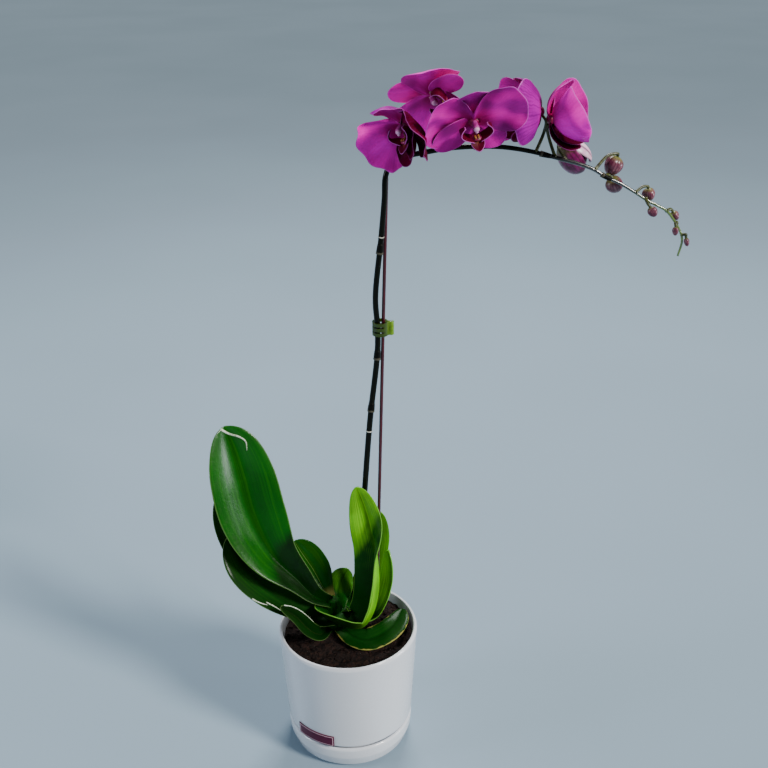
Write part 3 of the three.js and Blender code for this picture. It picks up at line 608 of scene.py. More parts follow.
def finish_piece(bm, name, materials, nodes, body=PLANT, sharp=None):
    """Makes a bmesh in millimetres a piece that stands for its CAD nodes."""
    bm.transform(Matrix.Scale(MM, 4))
    mesh = bpy.data.meshes.new(name)
    bm.to_mesh(mesh)
    bm.free()
    mesh.shade_smooth()
    if sharp:
        mesh.set_sharp_from_angle(angle=math.radians(sharp))
    for material in materials:
        mesh.materials.append(material)
    piece = bpy.data.objects.new(name, mesh)
    bpy.context.scene.collection.objects.link(piece)
    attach(piece, body)
    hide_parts(*nodes)
    return piece


def give_wall(piece, millimetres, back_material=0, levels=1):
    """Gives a sheet its thickness, half to each side, and smooths it with its edge."""
    piece.vertex_groups.new(name="thickness")
    wall = piece.modifiers.new("Wall", "SOLIDIFY")
    wall.thickness = millimetres * MM
    wall.offset = 0
    wall.vertex_group = "thickness"
    wall.material_offset = back_material
    if levels:
        smooth = piece.modifiers.new("Smooth", "SUBSURF")
        smooth.levels = smooth.render_levels = levels


def round_edges(piece, millimetres, angle=30):
    """Rounds a piece's sharp edges."""
    bevel = piece.modifiers.new("Rounded", "BEVEL")
    bevel.width = millimetres * MM
    bevel.segments = 3
    bevel.limit_method = "ANGLE"
    bevel.angle_limit = math.radians(angle)


# Materials


def node(tree, kind, inputs=None, output=0, **settings):
    """Adds a shader node with its settings and its inputs, and gives one of its outputs."""
    made = tree.nodes.new("ShaderNode" + kind)
    for name, value in settings.items():
        setattr(made, name, value)
    for key, value in (inputs or {}).items():
        socket = made.inputs[key]
        if isinstance(value, bpy.types.NodeSocket):
            tree.links.new(value, socket)
        elif socket.type == "RGBA":
            socket.default_value = (*value[:3], 1)
        else:
            socket.default_value = value
    return made.outputs[output] if len(made.outputs) else None


# A MapRange takes its value at 0, what that runs between at 1 and 2, and what comes out at 3
# and 4. A Mix of colours takes its share at 0 and the two colours at 6 and 7.

SMOOTH = {"interpolation_type": "SMOOTHSTEP"}
COLOUR = {"output": 2, "data_type": "RGBA"}


def laid_over(tree, ground, other, pattern, low, high, least=0.0, most=1.0):
    """Lays another colour over the ground: least of it where a pattern is low, most at high."""
    share = node(tree, "MapRange", {0: pattern, 1: low, 2: high, 3: least, 4: most}, **SMOOTH)
    return node(tree, "Mix", {0: share, 6: ground, 7: other}, **COLOUR)


def start_material(name):
    """A new material with an empty node tree."""
    material = bpy.data.materials.new(name)
    material.use_nodes = True
    material.node_tree.nodes.clear()
    return material, material.node_tree


def end_material(tree, height, depth_mm, surface):
    """Adds the surface shader, with a relief that follows height, and the output."""
    relief = node(tree, "Bump", {"Height": height, "Distance": depth_mm * MM, "Strength": 1.0})
    shader = node(tree, "BsdfPrincipled", {**surface, "Normal": relief})
    node(tree, "OutputMaterial", {"Surface": shader})


def cloudy(tree, size_mm, detail=2.0, stretch=(1, 1, 1)):
    """Even noise in the object's own coordinates, with features of the given size."""
    place = node(tree, "TexCoord", output="Object")
    place = node(tree, "Mapping", {"Vector": place, "Scale": stretch})
    return node(tree, "TexNoise", {
        "Vector": place, "Scale": 1 / (size_mm * MM), "Detail": detail,
    })


def sheet_place(tree):
    """How far across and along its own sheet a point lies, each from 0 to 1."""
    place = node(tree, "UVMap", uv_map="UVMap")
    return [node(tree, "SeparateXYZ", {0: place}, output=axis) for axis in (0, 1)]


def from_middle(tree, across):
    """How far a point lies from its sheet's middle line, from 0 to 0.5."""
    aside = node(tree, "Math", {0: across, 1: 0.5}, operation="SUBTRACT")
    return node(tree, "Math", {0: aside}, operation="ABSOLUTE")


def lines_in(tree, across, count, width, strength=1.0):
    """Thin lines at count even places across: strength on a line, and 0 between them."""
    place = node(tree, "Math", {0: across, 1: count}, operation="MULTIPLY")
    away = node(tree, "Math", {0: place, 1: 0.5}, operation="PINGPONG")
    return node(tree, "MapRange", {0: away, 1: 0.0, 2: width, 3: strength, 4: 0.0}, **SMOOTH)


def stoneware_glaze(settings):
    """Glazed stoneware, slip cast and dipped: a white coat that flows a little."""
    material, tree = start_material("glazed_stoneware")
    thin = linear("#bcc0c8")
    colour = laid_over(tree, settings.glaze, thin, cloudy(tree, 60), 0.3, 0.8, most=0.08)
    speck = cloudy(tree, 1.5, 1)
    rough = node(tree, "MapRange", {
        0: speck, 1: 0.3, 2: 0.8, 3: settings.gloss, 4: settings.gloss + 0.06}, **SMOOTH)
    end_material(tree, cloudy(tree, 14), 0.05, {
        "Base Color": colour, "Roughness": rough, "IOR": 1.5, "Coat Weight": 0.6,
        "Coat Roughness": 0.1,
    })
    return material


def vinyl_label(settings):
    """A printed vinyl sticker: flat maroon with a thin pale line inside its edge."""
    material, tree = start_material("printed_vinyl")
    across, along = sheet_place(tree)
    inside = []
    wide = math.radians(LABEL["to"] - LABEL["from"]) * LABEL["radius"]
    for place, size in ((across, wide), (along, LABEL["high"] - LABEL["low"])):
        away = node(tree, "Math", {0: place, 1: 0.5}, operation="PINGPONG")
        inside.append(node(tree, "Math", {0: away, 1: size}, operation="MULTIPLY"))
    margin = node(tree, "Math", dict(enumerate(inside)), operation="MINIMUM")
    away = node(tree, "Math", {0: margin, 1: LABEL["inset"]}, operation="SUBTRACT")
    away = node(tree, "Math", {0: away}, operation="ABSOLUTE")
    grain = cloudy(tree, 0.5)
    dark = Vector(settings.label) * 0.6
    ink = laid_over(tree, settings.label, dark, grain, 0.3, 0.7, most=0.3)
    colour = laid_over(tree, ink, settings.label_line, away, 0.15, 0.35, 1.0, 0.0)
    end_material(tree, grain, 0.02, {
        "Base Color": colour, "Roughness": 0.42, "Specular IOR Level": 0.25,
    })
    return material


def bark_and_coir(name, colour, other):
    """Composted bark and coconut fibre: matt, dark and damp, in grains of 1 to 4 mm."""
    material, tree = start_material(name)
    place = node(tree, "TexCoord", output="Object")
    cells = {"Vector": place, "Scale": 1 / (2.2 * MM)}
    tone = node(tree, "SeparateColor", {0: node(tree, "TexVoronoi", cells, output="Color")})
    depth = node(tree, "TexVoronoi", cells, output="Distance")
    fine = cloudy(tree, 1.2, 6)
    ground = laid_over(tree, Vector(colour) * 0.3, colour, tone, 0.3, 0.9)
    ground = laid_over(tree, ground, other, fine, 0.55, 0.75, most=0.8)
    rough = node(tree, "MapRange", {0: fine, 1: 0.3, 2: 0.7, 3: 0.75, 4: 0.98}, **SMOOTH)
    relief = node(tree, "Math", {0: fine, 1: depth}, operation="SUBTRACT")
    end_material(tree, relief, 1.2, {
        "Base Color": ground, "Roughness": rough, "Specular IOR Level": 0.25,
    })
    return material


def leaf_flesh(tree, leaf, across, along, old, fresh):
    """A leaf's green: old at the foot and fresh over the blade, clouded and streaked. The foot
    is also painted shade, darkened by foot and ending along a slanting line.
    """
    # Painted shadow: grown runs from the foot's colour, old green darkened by foot, to the
    # blade's fresh green, and the slant tilts the line where it turns.
    low, high = leaf["greens_and_shadow"]
    height = node(tree, "Math", {0: across, 1: leaf["shadow_slant"], 2: along}, operation="MULTIPLY_ADD")
    grown = node(tree, "MapRange", {0: height, 1: low, 2: high}, **SMOOTH)
    colour = node(tree, "Mix", {0: grown, 6: old * (1 - leaf["foot"]), 7: fresh}, **COLOUR)
    colour = laid_over(tree, colour, old * 0.45, cloudy(tree, 30, 3), 0.35, 0.7, most=0.45)
    place = node(tree, "UVMap", uv_map="UVMap")
    place = node(tree, "Mapping", {0: place, "Scale": (1, 0.05, 1)})
    streaks = node(tree, "TexNoise", {"Vector": place, "Scale": 22, "Detail": 2})
    share = node(tree, "MapRange", {0: streaks, 1: 0.45, 2: 0.7, 3: 0.0, 4: 0.55}, **SMOOTH)
    share = node(tree, "Math", {0: share, 1: grown}, operation="MULTIPLY")
    sunny = Vector((2.6 * fresh[0] + 0.004, 1.7 * fresh[1], fresh[2]))
    return node(tree, "Mix", {0: share, 6: colour, 7: sunny}, **COLOUR)


def leaf_veins(tree, count, across, along, patch):
    """Where a leaf's long veins show: in patches, and not at the foot."""
    wander = node(tree, "Math", {0: cloudy(tree, 14, 1), 1: 0.012}, operation="MULTIPLY")
    place = node(tree, "Math", {0: across, 1: wander}, operation="ADD")
    lines = lines_in(tree, place, count, 0.35)
    share = node(tree, "Math", {0: lines, 1: patch}, operation="MULTIPLY")
    blade = node(tree, "MapRange", {0: along, 1: 0.35, 2: 0.6, 3: 0.0, 4: 0.22}, **SMOOTH)
    return node(tree, "Math", {0: share, 1: blade}, operation="MULTIPLY")


def leaf_marks(tree, leaf, colour, side, along, pale, dry):
    """Adds a leaf's pale midrib and margin, its yellow stalk and its dry edge."""
    colour = laid_over(tree, colour, pale, side, 0.003, 0.016, leaf["rib"], 0.0)
    colour = laid_over(tree, colour, pale, side, 0.475, 0.495, most=0.6)
    if leaf["petiole"]:
        colour = laid_over(tree, colour, dry, along, 0.04, 0.15, leaf["petiole"], 0.0)
    if leaf["torn"]:
        ragged = node(tree, "Math", {0: cloudy(tree, 6, 3), 1: 0.16}, operation="MULTIPLY")
        ragged = node(tree, "Math", {0: side, 1: ragged}, operation="ADD")
        colour = laid_over(tree, colour, dry, ragged, 0.545, 0.565, most=leaf["torn"])
    return colour


def leaf_skin(name, leaf, settings, under=False):
    """A moth orchid's leaf: a thick waxy skin over fine veins that run its whole length."""
    material, tree = start_material(name)
    across, along = sheet_place(tree)
    side = from_middle(tree, across)
    # Painted shade: shade darkens the old green of a leaf that stands in shadow.
    old = Vector(settings.under if under else settings.old) * (1 - 0.8 * leaf["shade"])
    fresh = old.lerp(Vector(settings.young), leaf["young"])
    colour = leaf_flesh(tree, leaf, across, along, old, fresh)
    # Painted shade: darker along the midrib, in the crease where the halves fold up.
    colour = laid_over(tree, colour, old * 0.35, side, 0.01, 0.1, 0.5, 0.0)
    patch = node(tree, "MapRange", {0: cloudy(tree, 9), 1: 0.35, 2: 0.65}, **SMOOTH)
    count = round(2 * leaf["half"] * MM / settings.vein_spacing)
    veins = leaf_veins(tree, count, across, along, patch)
    colour = node(tree, "Mix", {0: veins, 6: colour, 7: fresh * 1.8}, **COLOUR)
    pale = fresh.lerp(Vector(linear("#a2cc70")), 0.35)
    colour = leaf_marks(tree, leaf, colour, side, along, pale, settings.petiole)

    # A leaf in painted shade also shines less.
    lit = 1 - leaf["shade"]
    matt = 0.5 if under else 0.7 - 0.4 * lit
    gloss = (0.08 if under else 0.22) * (0.3 + 0.7 * lit)
    wax = 0.0 if under else 0.5 * lit
    rough = node(tree, "MapRange", {0: patch, 3: matt + 0.08, 4: matt})
    shine = node(tree, "MapRange", {0: side, 1: 0.02, 2: 0.14, 3: 0.05, 4: gloss}, **SMOOTH)
    coat = node(tree, "MapRange", {0: side, 1: 0.05, 2: 0.2, 3: 0.0, 4: wax}, **SMOOTH)
    upper = node(tree, "MapRange", {0: along, 1: 0.5, 2: 0.75, 3: 0.1, 4: 1.0}, **SMOOTH)
    coat = node(tree, "Math", {0: coat, 1: upper}, operation="MULTIPLY")
    relief = node(tree, "Math", {0: veins, 1: -1.5}, operation="MULTIPLY")
    pits = node(tree, "Math", {0: cloudy(tree, 2.6, 3), 1: 2.5}, operation="MULTIPLY")
    relief = node(tree, "Math", {0: relief, 1: pits}, operation="ADD")
    end_material(tree, relief, 0.1, {
        "Base Color": colour, "Roughness": rough, "IOR": 1.4, "Specular IOR Level": shine,
        "Coat Weight": coat, "Coat Roughness": 0.16, "Subsurface Weight": 0.08,
        "Subsurface Scale": 1.5 * MM, "Subsurface Radius": (0.3, 1.0, 0.1),
    })
    return material


def crown_skin(settings):
    """The crown's skin: ribbed lengthwise by the leaves' sheathing feet, dark green partly of its
    own and partly as painted shade from the leaves over it, and darkest in the grooves.
    """
    material, tree = start_material("crown_skin")
    fibre = cloudy(tree, 1.6, 3, (1, 1, 0.12))
    # Painted shade: the colour is darker where the relief is low, in the grooves between the
    # ribs.
    colour = laid_over(tree, Vector(settings.old) * 0.35, settings.old, fibre, 0.35, 0.7)
    end_material(tree, fibre, 0.3, {
        "Base Color": colour, "Roughness": 0.7, "Specular IOR Level": 0.1,
    })
    return material


def tepal_veins(tree, spread, along):
    """Main veins from the claw on, and finer ones between them towards the rim."""
    main = lines_in(tree, spread, 15, 0.16, 0.6)
    twigs = lines_in(tree, spread, 45, 0.3)
    outer = node(tree, "MapRange", {0: along, 1: 0.35, 2: 0.8, 3: 0.0, 4: 0.5}, **SMOOTH)
    twigs = node(tree, "Math", {0: twigs, 1: outer}, operation="MULTIPLY")
    return node(tree, "Math", {0: main, 1: twigs}, operation="MAXIMUM")


def tepal_skin(name, colour, settings, net, pale_rim_and_highlight=0.8):
    """A petal's skin: soft and satiny, with veins that fan out and branch from the claw, and a
    painted highlight along its middle.
    """
    material, tree = start_material(name)
    across, along = sheet_place(tree)
    wander = node(tree, "Math", {0: cloudy(tree, 5), 1: 0.03}, operation="MULTIPLY")
    spread = node(tree, "Math", {0: across, 1: wander}, operation="ADD")
    side = from_middle(tree, spread)
    veins = tepal_veins(tree, spread, along)
    shown = node(tree, "Math", {0: veins, 1: net}, operation="MULTIPLY")
    ground = laid_over(tree, colour, Vector(colour) * 0.6, cloudy(tree, 16, 1), 0.3, 0.7)
    # Painted highlight: lighter along each tepal's middle, as on a ridge that faces the light.
    ground = laid_over(tree, ground, Vector(colour) * 1.4, side, 0.02, 0.2, 0.7, 0.0)
    ground = node(tree, "Mix", {0: shown, 6: ground, 7: settings.vein}, **COLOUR)
    # Darker towards the claw: partly the flower's own darker centre and partly painted shade in
    # its throat.
    ground = laid_over(tree, ground, settings.throat, along, 0.05, 0.45, 0.9, 0.0)
    # The thin pale rim is partly the tepal's own paler edge and partly a painted rim highlight.
    ground = laid_over(tree, ground, settings.rim, along, 0.972, 0.99, most=pale_rim_and_highlight)
    folds = node(tree, "Math", {0: cloudy(tree, 17, 0), 1: 110}, operation="MULTIPLY")
    relief = node(tree, "Math", {0: cloudy(tree, 0.45, 1), 1: veins}, operation="SUBTRACT")
    relief = node(tree, "Math", {0: relief, 1: folds}, operation="ADD")
    end_material(tree, relief, 0.08, {
        "Base Color": ground, "Roughness": 0.5, "Specular IOR Level": 0.03,
        "Subsurface Weight": 0.06, "Subsurface Scale": 1 * MM,
        "Subsurface Radius": (1.0, 0.02, 0.7),
    })
    return material


def lip_skin(name, settings, striped):
    """The lip's waxy skin: crimson with a pink edge, and gold stripes at its foot."""
    material, tree = start_material(name)
    across, along = sheet_place(tree)
    side = from_middle(tree, across)
    stripes = lines_in(tree, across, 7, 0.2)
    foot = node(tree, "MapRange", {0: along, 1: 0.15, 2: 0.6, 3: striped, 4: 0.0}, **SMOOTH)
    stripes = node(tree, "Math", {0: stripes, 1: foot}, operation="MULTIPLY")
    colour = node(tree, "Mix", {0: stripes, 6: settings.lip, 7: settings.gold}, **COLOUR)
    colour = laid_over(tree, colour, settings.rim, side, 0.46, 0.49, most=0.8)
    colour = laid_over(tree, colour, settings.rim, along, 0.95, 0.985, most=0.7)
    end_material(tree, cloudy(tree, 0.6), 0.06, {
        "Base Color": colour, "Roughness": 0.4, "Specular IOR Level": 0.2,
    })
    return material


def mottled_skin(name, colour, other, size_mm=2.5, rough=0.38):
    """Plant skin in two close colours, waxy where it is smooth and papery where it is rough."""
    material, tree = start_material(name)
    mottled = laid_over(tree, colour, other, cloudy(tree, size_mm, 3), 0.35, 0.7)
    grain = cloudy(tree, 0.5)
    rough = node(tree, "MapRange", {0: grain, 1: 0.3, 2: 0.7, 3: rough, 4: rough + 0.12})
    end_material(tree, grain, 0.05, {"Base Color": mottled, "Roughness": rough})
    return material


def stem_skin(settings):
    """The spike's skin: nearly black and satiny low down, glossier over the arch, green at the
    tip."""
    material, tree = start_material("stem_skin")
    across, along = sheet_place(tree)
    place = node(tree, "CombineXYZ", {0: across, 1: along})
    streak = node(tree, "TexNoise", {"Vector": place, "Scale": 18, "Detail": 3})
    dark = laid_over(tree, settings.stem, linear("#14180c"), streak, 0.4, 0.75)
    colour = laid_over(tree, dark, settings.tip, along, 0.88, 0.96)
    grain = cloudy(tree, 4)
    rough = node(tree, "MapRange", {0: grain, 1: 0.3, 2: 0.7, 3: 0.2, 4: 0.26})
    gloss = node(tree, "MapRange", {0: along, 1: 0.79, 2: 0.84, 3: 0.08, 4: 1.0}, **SMOOTH)
    end_material(tree, grain, 0.02, {
        "Base Color": colour, "Roughness": rough, "Specular IOR Level": gloss,
        "Coat Weight": gloss, "Coat Roughness": 0.2,
    })
    return material


def sheath_skin(settings):
    """A node's dry sheath: as dark as the stem, with a thin papery edge."""
    material, tree = start_material("sheath_skin")
    along = sheet_place(tree)[1]
    ragged = node(tree, "Math", {0: cloudy(tree, 1.5), 1: 0.25}, operation="MULTIPLY")
    ragged = node(tree, "Math", {0: along, 1: ragged}, operation="ADD")
    papery = linear("#8d8670")
    colour = laid_over(tree, settings.stem, papery, ragged, 0.32, 0.36, 0.3, 0.0)
    end_material(tree, ragged, 0.1, {
        "Base Color": colour, "Roughness": 0.5, "Specular IOR Level": 0.1,
    })
    return material


def bud_skin(name, flush, pale, streaked, settings):
    """A bud's waxy skin: flushed, with darker streaks along it and a green foot."""
    material, tree = start_material(name)
    across, along = sheet_place(tree)
    colour = laid_over(tree, flush, pale, cloudy(tree, 5, 1), 0.35, 0.7)
    streaks = lines_in(tree, across, streaked, 0.28, 0.75)
    colour = node(tree, "Mix", {0: streaks, 6: colour, 7: linear("#4a0a2c")}, **COLOUR)
    colour = laid_over(tree, colour, settings.bud_foot, along, 0.04, 0.35, 0.9, 0.0)
    end_material(tree, cloudy(tree, 0.6), 0.06, {
        "Base Color": colour, "Roughness": 0.3, "Subsurface Weight": 0.1,
        "Subsurface Scale": 1.5 * MM, "Subsurface Radius": (1.0, 0.3, 0.4),
    })
    return material


def coated_rod(settings):
    """A wire in a plastic coat: maroon and glossy, with fine lines along it from the die."""
    material, tree = start_material("plastic_coated_wire")
    grain = cloudy(tree, 0.7, 3, (1, 1, 0.04))
    colour = laid_over(tree, settings.stake, Vector(settings.stake) * 0.5, grain, 0.35, 0.7)
    rough = node(tree, "MapRange", {0: grain, 1: 0.3, 2: 0.7, 3: 0.2, 4: 0.3})
    end_material(tree, grain, 0.04, {"Base Color": colour, "Roughness": rough})
    return material


def moulded_clip(settings):
    """Injection-moulded translucent polypropylene: yellow-green and glossy, and darker round the
    ring: painted shade where the dark stem shows through."""
    material, tree = start_material("moulded_polypropylene")
    # Painted shade for the ring, where the dark stem shows through the plastic.
    shadowed = Vector(settings.clip) * 0.12
    aside = node(tree, "SeparateXYZ", {0: node(tree, "TexCoord", output="Object")})
    low, high = (x * MM for x in CLIP_RING_END)
    colour = laid_over(tree, settings.clip, shadowed, aside, low, high, 0.9, 0.0)
    end_material(tree, cloudy(tree, 0.4, 1), 0.02, {
        "Base Color": colour, "Roughness": 0.24, "IOR": 1.49, "Transmission Weight": 0.25,
        "Subsurface Weight": 0.3, "Subsurface Scale": 2 * MM,
        "Subsurface Radius": (0.6, 1.0, 0.1),
    })
    return material


def drawn_steel():
    """Drawn stainless wire: bright, with fine lines from the die."""
    material, tree = start_material("drawn_stainless_wire")
    grain = cloudy(tree, 0.3, 2, (1, 1, 0.1))
    colour = laid_over(tree, linear("#c2c6c9"), linear("#9a9fa3"), grain, 0.3, 0.7)
    rough = node(tree, "MapRange", {0: grain, 1: 0.3, 2: 0.7, 3: 0.22, 4: 0.36})
    end_material(tree, grain, 0.01, {
        "Base Color": colour, "Metallic": 1.0, "Roughness": rough,
    })
    return material


def matt_paper(settings):
    """Uncoated backdrop paper: matt, with broad faint clouds and a fine tooth."""
    material, tree = start_material("matt_paper_floor")
    darker = Vector(settings.floor) * 0.94
    colour = laid_over(tree, settings.floor, darker, cloudy(tree, 700), 0.3, 0.7)
    end_material(tree, cloudy(tree, 4), 0.05, {"Base Color": colour, "Roughness": 0.85})
    return material


# Shapes of the pot and the plant


def body_radius(height):
    """The radius of the pot's outer wall at a height."""
    (narrow, low), (wide, high) = WALL_FOOT, WALL_TOP
    return narrow + (height - low) * (wide - narrow) / (high - low)


def mix_height(x, y):
    """The height of the mix's top, with its waves, lumps and grains."""
    waves = 1.1 * math.sin(x * 0.31 + 1.3) * math.cos(y * 0.27 - 0.4)
    waves += 0.8 * math.sin(x * 0.17 - y * 0.36 + 2.1)
    lumps = 1.3 * noise.noise(Vector((x, y, 0)) / 4.5)
    grains = 0.55 * noise.noise(Vector((x, y, 7)) / 1.6)
    return MIX_HEIGHT + waves + lumps + grains


def add_mix_body(bm):
    """The mix: a square grid drawn out to a disc, over its side and floor."""
    verts = bmesh.ops.create_grid(bm, x_segments=130, y_segments=130, size=1)["verts"]
    for vert in verts:
        u, v = vert.co.x, vert.co.y
        x = u * math.sqrt(1 - v * v / 2) * MIX_RADIUS
        y = v * math.sqrt(1 - u * u / 2) * MIX_RADIUS
        vert.co = (x, y, mix_height(x, y))
    rim = [edge for edge in bm.edges if edge.is_boundary]
    for drop, share in MIX_SIDES:
        ring = bmesh.ops.extrude_edge_only(bm, edges=rim)["geom"]
        for vert in [item for item in ring if isinstance(item, bmesh.types.BMVert)]:
            vert.co = (vert.co.x * share, vert.co.y * share, MIX_HEIGHT - drop)
        rim = [item for item in ring if isinstance(item, bmesh.types.BMEdge)]
    bmesh.ops.holes_fill(bm, edges=rim)
    bmesh.ops.recalc_face_normals(bm, faces=bm.faces)


def random_spot(seeded, margin):
    """A random place on the mix, at least margin from its edge."""
    radius = (MIX_RADIUS - margin) * math.sqrt(seeded.random())
    angle = seeded.uniform(0, math.tau)
    return radius * math.cos(angle), radius * math.sin(angle)


def add_chip(bm, seeded):
    """A chip of bark that lies nearly flat on the mix."""
    x, y = random_spot(seeded, CHIP_MARGIN)
    size = seeded.uniform(*CHIP_SIZES)
    turn = Matrix.Rotation(seeded.uniform(0, math.tau), 4, "Z")
    turn = turn @ Matrix.Rotation(seeded.uniform(-0.5, 0.5), 4, "X")
    shape = (
        Matrix.Translation((x, y, mix_height(x, y) + 0.1 * size)) @ turn
        @ Matrix.Diagonal((size * 1.5, size, size * 0.45, 1))
    )
    chip = bmesh.ops.create_icosphere(bm, subdivisions=1, radius=1, matrix=shape)
    for vert in chip["verts"]:
        vert.co += noise.noise_vector(vert.co) * 0.35 * size


def add_fibre(bm, seeded):
    """A coir fibre that wanders over the mix, with both ends in it."""
    x, y = random_spot(seeded, FIBRE_MARGIN)
    way = seeded.uniform(0, math.tau)
    points = []
    for rise in FIBRE_RISES:
        way += seeded.uniform(-0.5, 0.5)
        points.append((x, y, mix_height(x, y) + rise))
        x += FIBRE_STEP * math.cos(way)
        y += FIBRE_STEP * math.sin(way)
    add_stalk(bm, Route(points).at, lambda u: FIBRE_RADIUS, 6, 4, material=1)


def leaf_half_width(leaf, s):
    """Half a leaf's width at s, from 0 at its foot to 1 at its tip."""
    if s < leaf["belly"]:
        swell = math.sin(math.pi / 2 * s / leaf["belly"]) ** 1.4
        return leaf["half"] * (leaf["neck"] + (1 - leaf["neck"]) * swell)
    rest = (s - leaf["belly"]) / (1 - leaf["belly"])
    rounded = max(0.0, 1 - rest ** leaf["bluntness"])
    return max(0.7, leaf["half"] * math.sqrt(rounded))


def leaf_sheet(leaf):
    """Where each point of a leaf's middle lies, for add_sheet."""
    spine, face = Route(leaf["spine"]), Route(leaf["face"])

    def place(v, u):
        s = 1 - (1 - min(1.0, u)) ** 1.6
        along = spine.direction(s)
        across = along.cross(face.point(s)).normalized()
        up = across.cross(along)
        half = leaf_half_width(leaf, s)
        fold = math.radians(blend(leaf["fold"], s))
        reach = math.sqrt(v * v + 0.03) - math.sqrt(0.03)
        wave = 0.35 * math.sin(11 * s + 2 * v) * v**4
        return (
            spine.at(s) + across * (half * v * math.cos(fold))
            + up * (half * (reach * math.sin(fold) - 0.12 * v**4) + wave)
        )

    return place


def tepal_sheet(length, width, narrow, lift, turn, lean, curl, cup, ruffle, ridge=0):
    """Where each point of a tepal lies. The outline is swept by v and shrinks with u."""
    start = math.radians(lean)
    bend = math.radians(curl) or 1e-4
    spin = Matrix.Rotation(math.radians(turn), 3, "Z")

    def place(v, u):
        sweep = math.pi * (1 + 0.93 * v)
        reach = (0.1 + 0.9 * u) * (1 + 0.015 * ruffle * math.sin(8 * math.pi * v + turn) * u**3)
        x = reach * length / 2 * (1 - math.cos(sweep))
        y = reach * width / 2 * math.sin(sweep) * (1 - narrow * math.cos(sweep))
        angle = start + bend * x / length
        crease = 0.35 * math.exp(-((y / 1.5) ** 2)) * min(1, x / 8)
        frill = 0.22 * ruffle * math.sin(17 * math.pi * v + 2 * turn) * u**5
        height = cup * 2 * y * y / width + ruffle * math.sin(5 * math.pi * v + turn) * u**3
        height += frill - crease + ridge * math.exp(-((y / 5) ** 2)) * min(1, x / 14)
        forward = length / bend * (math.sin(angle) - math.sin(start)) - height * math.sin(angle)
        rise = length / bend * (math.cos(start) - math.cos(angle)) + height * math.cos(angle)
        return spin @ Vector((forward, y, rise + lift))

    return place


def bloom_frame(bloom):
    """Takes a flower's own coordinates to the plant's."""
    face = Vector(bloom["face"]).normalized()
    right = Vector(bloom["up"]).cross(face).normalized()
    up = face.cross(right)
    turn = Matrix((right, up, face)).transposed().to_4x4()
    return Matrix.Translation(bloom["at"]) @ turn


def perianth_mesh(bloom):
    """The five tepals round the hub."""
    bm = new_bmesh()
    for index, (tepal, turn) in enumerate(TEPALS):
        length, width = tepal["length"] * bloom["size"], tepal["width"] * bloom["size"]
        lean, curl = bloom["open"][index], bloom["curl"][index]
        cup = (
            0.06 + tepal["cupping"] * math.tan(math.radians(lean))
            + 0.25 * tepal["width"] / tepal["length"] * math.radians(curl)
        )
        place = tepal_sheet(
            length, width, tepal["narrow"], tepal["lift"], turn + bloom["shift"][index],
            lean, curl, cup, tepal["ruffle"] * bloom["ruffle"],
            bloom["ridge"] if index == 1 else 0,
        )
        columns, rows = (44, 14) if tepal is PETAL else (34, 12)
        add_sheet(
            bm, columns, rows, place, lambda v, u: 1 - 0.4 * u**3,
            material=SKINS[bloom["skins"][index]],
        )
    bm.transform(bloom_frame(bloom))
    return bm


def column_mesh(bloom):
    """The column: a thick stalk, its cap with a beak, and the hollow under it."""
    bm = new_bmesh()
    add_stalk(bm, Route(COLUMN_LINE).at, lambda u: 1.7 + 0.8 * u, 12, 20)
    for centre, radii, material in COLUMN_BALLS:
        add_ball(bm, centre, radii, material)
    bm.transform(bloom_frame(bloom))
    return bm


def lip_mesh(bloom):
    """The lip's thin lobes: one in the middle and two that curve up round the column."""
    bm = new_bmesh()
    middle, foot = tepal_sheet(**LOBE), Vector(LOBE_FOOT)
    add_sheet(bm, 20, 12, lambda v, u: middle(v, u) + foot)
    for side in (1, -1):
        add_sheet(bm, 12, 18, lambda v, u, side=side: Vector((
            side * (2.2 + 9.5 * bloom["spread"] * math.sin(0.8 * math.pi * u)),
            -9.4 + 12.5 * u,
            8 + side * v * 4.6 * math.cos(1.3 * u**1.6),
        )), material=1)
    bm.transform(bloom_frame(bloom))
    return bm


def lip_core_mesh(bloom):
    """The lip's thick parts: the claw, the seat and the two-horned ridge."""
    bm = new_bmesh()
    add_stalk(bm, Route(LIP_CLAW).at, lambda u: 1.4, 12, 16)
    add_ball(bm, (0, -8.8, 7), (4, 1.8, 4.4))
    for side in (1, -1):
        add_ball(bm, (side * 1.2, -7.2, 8.6), (0.9, 1.1, 1.9), material=1)
    bm.transform(bloom_frame(bloom))
    return bm


def flower_pedicel(bloom):
    """A flower's stalk, which ends at the hub."""
    entry = math.radians(bloom["entry"])
    away = Vector((0, -math.sin(entry), -math.cos(entry)))
    reach = 1 / math.hypot(away.y / HUB_RADIUS, away.z / HUB_DEPTH)
    place = bloom_frame(bloom)
    ends = [place @ (Vector((0, 0, HUB_BACK)) + away * d) for d in (reach + 4, reach)]
    return Route([bloom["from"], bloom["by"], *ends])


def bud_pedicel(bud):
    """A bud's stalk, which ends at its foot."""
    tip = Vector(bud["tip"]).normalized()
    base = Vector(bud["at"]) - tip * (bud["long"] / 2)
    return Route([bud["from"], bud["by"], base + tip * (-0.12 * bud["long"]), base])


def bud_frame(bud):
    """Takes a bud's own coordinates to the plant's."""
    turn = Vector((0, 0, 1)).rotation_difference(Vector(bud["tip"]).normalized())
    return Matrix.Translation(bud["at"]) @ turn.to_matrix().to_4x4()


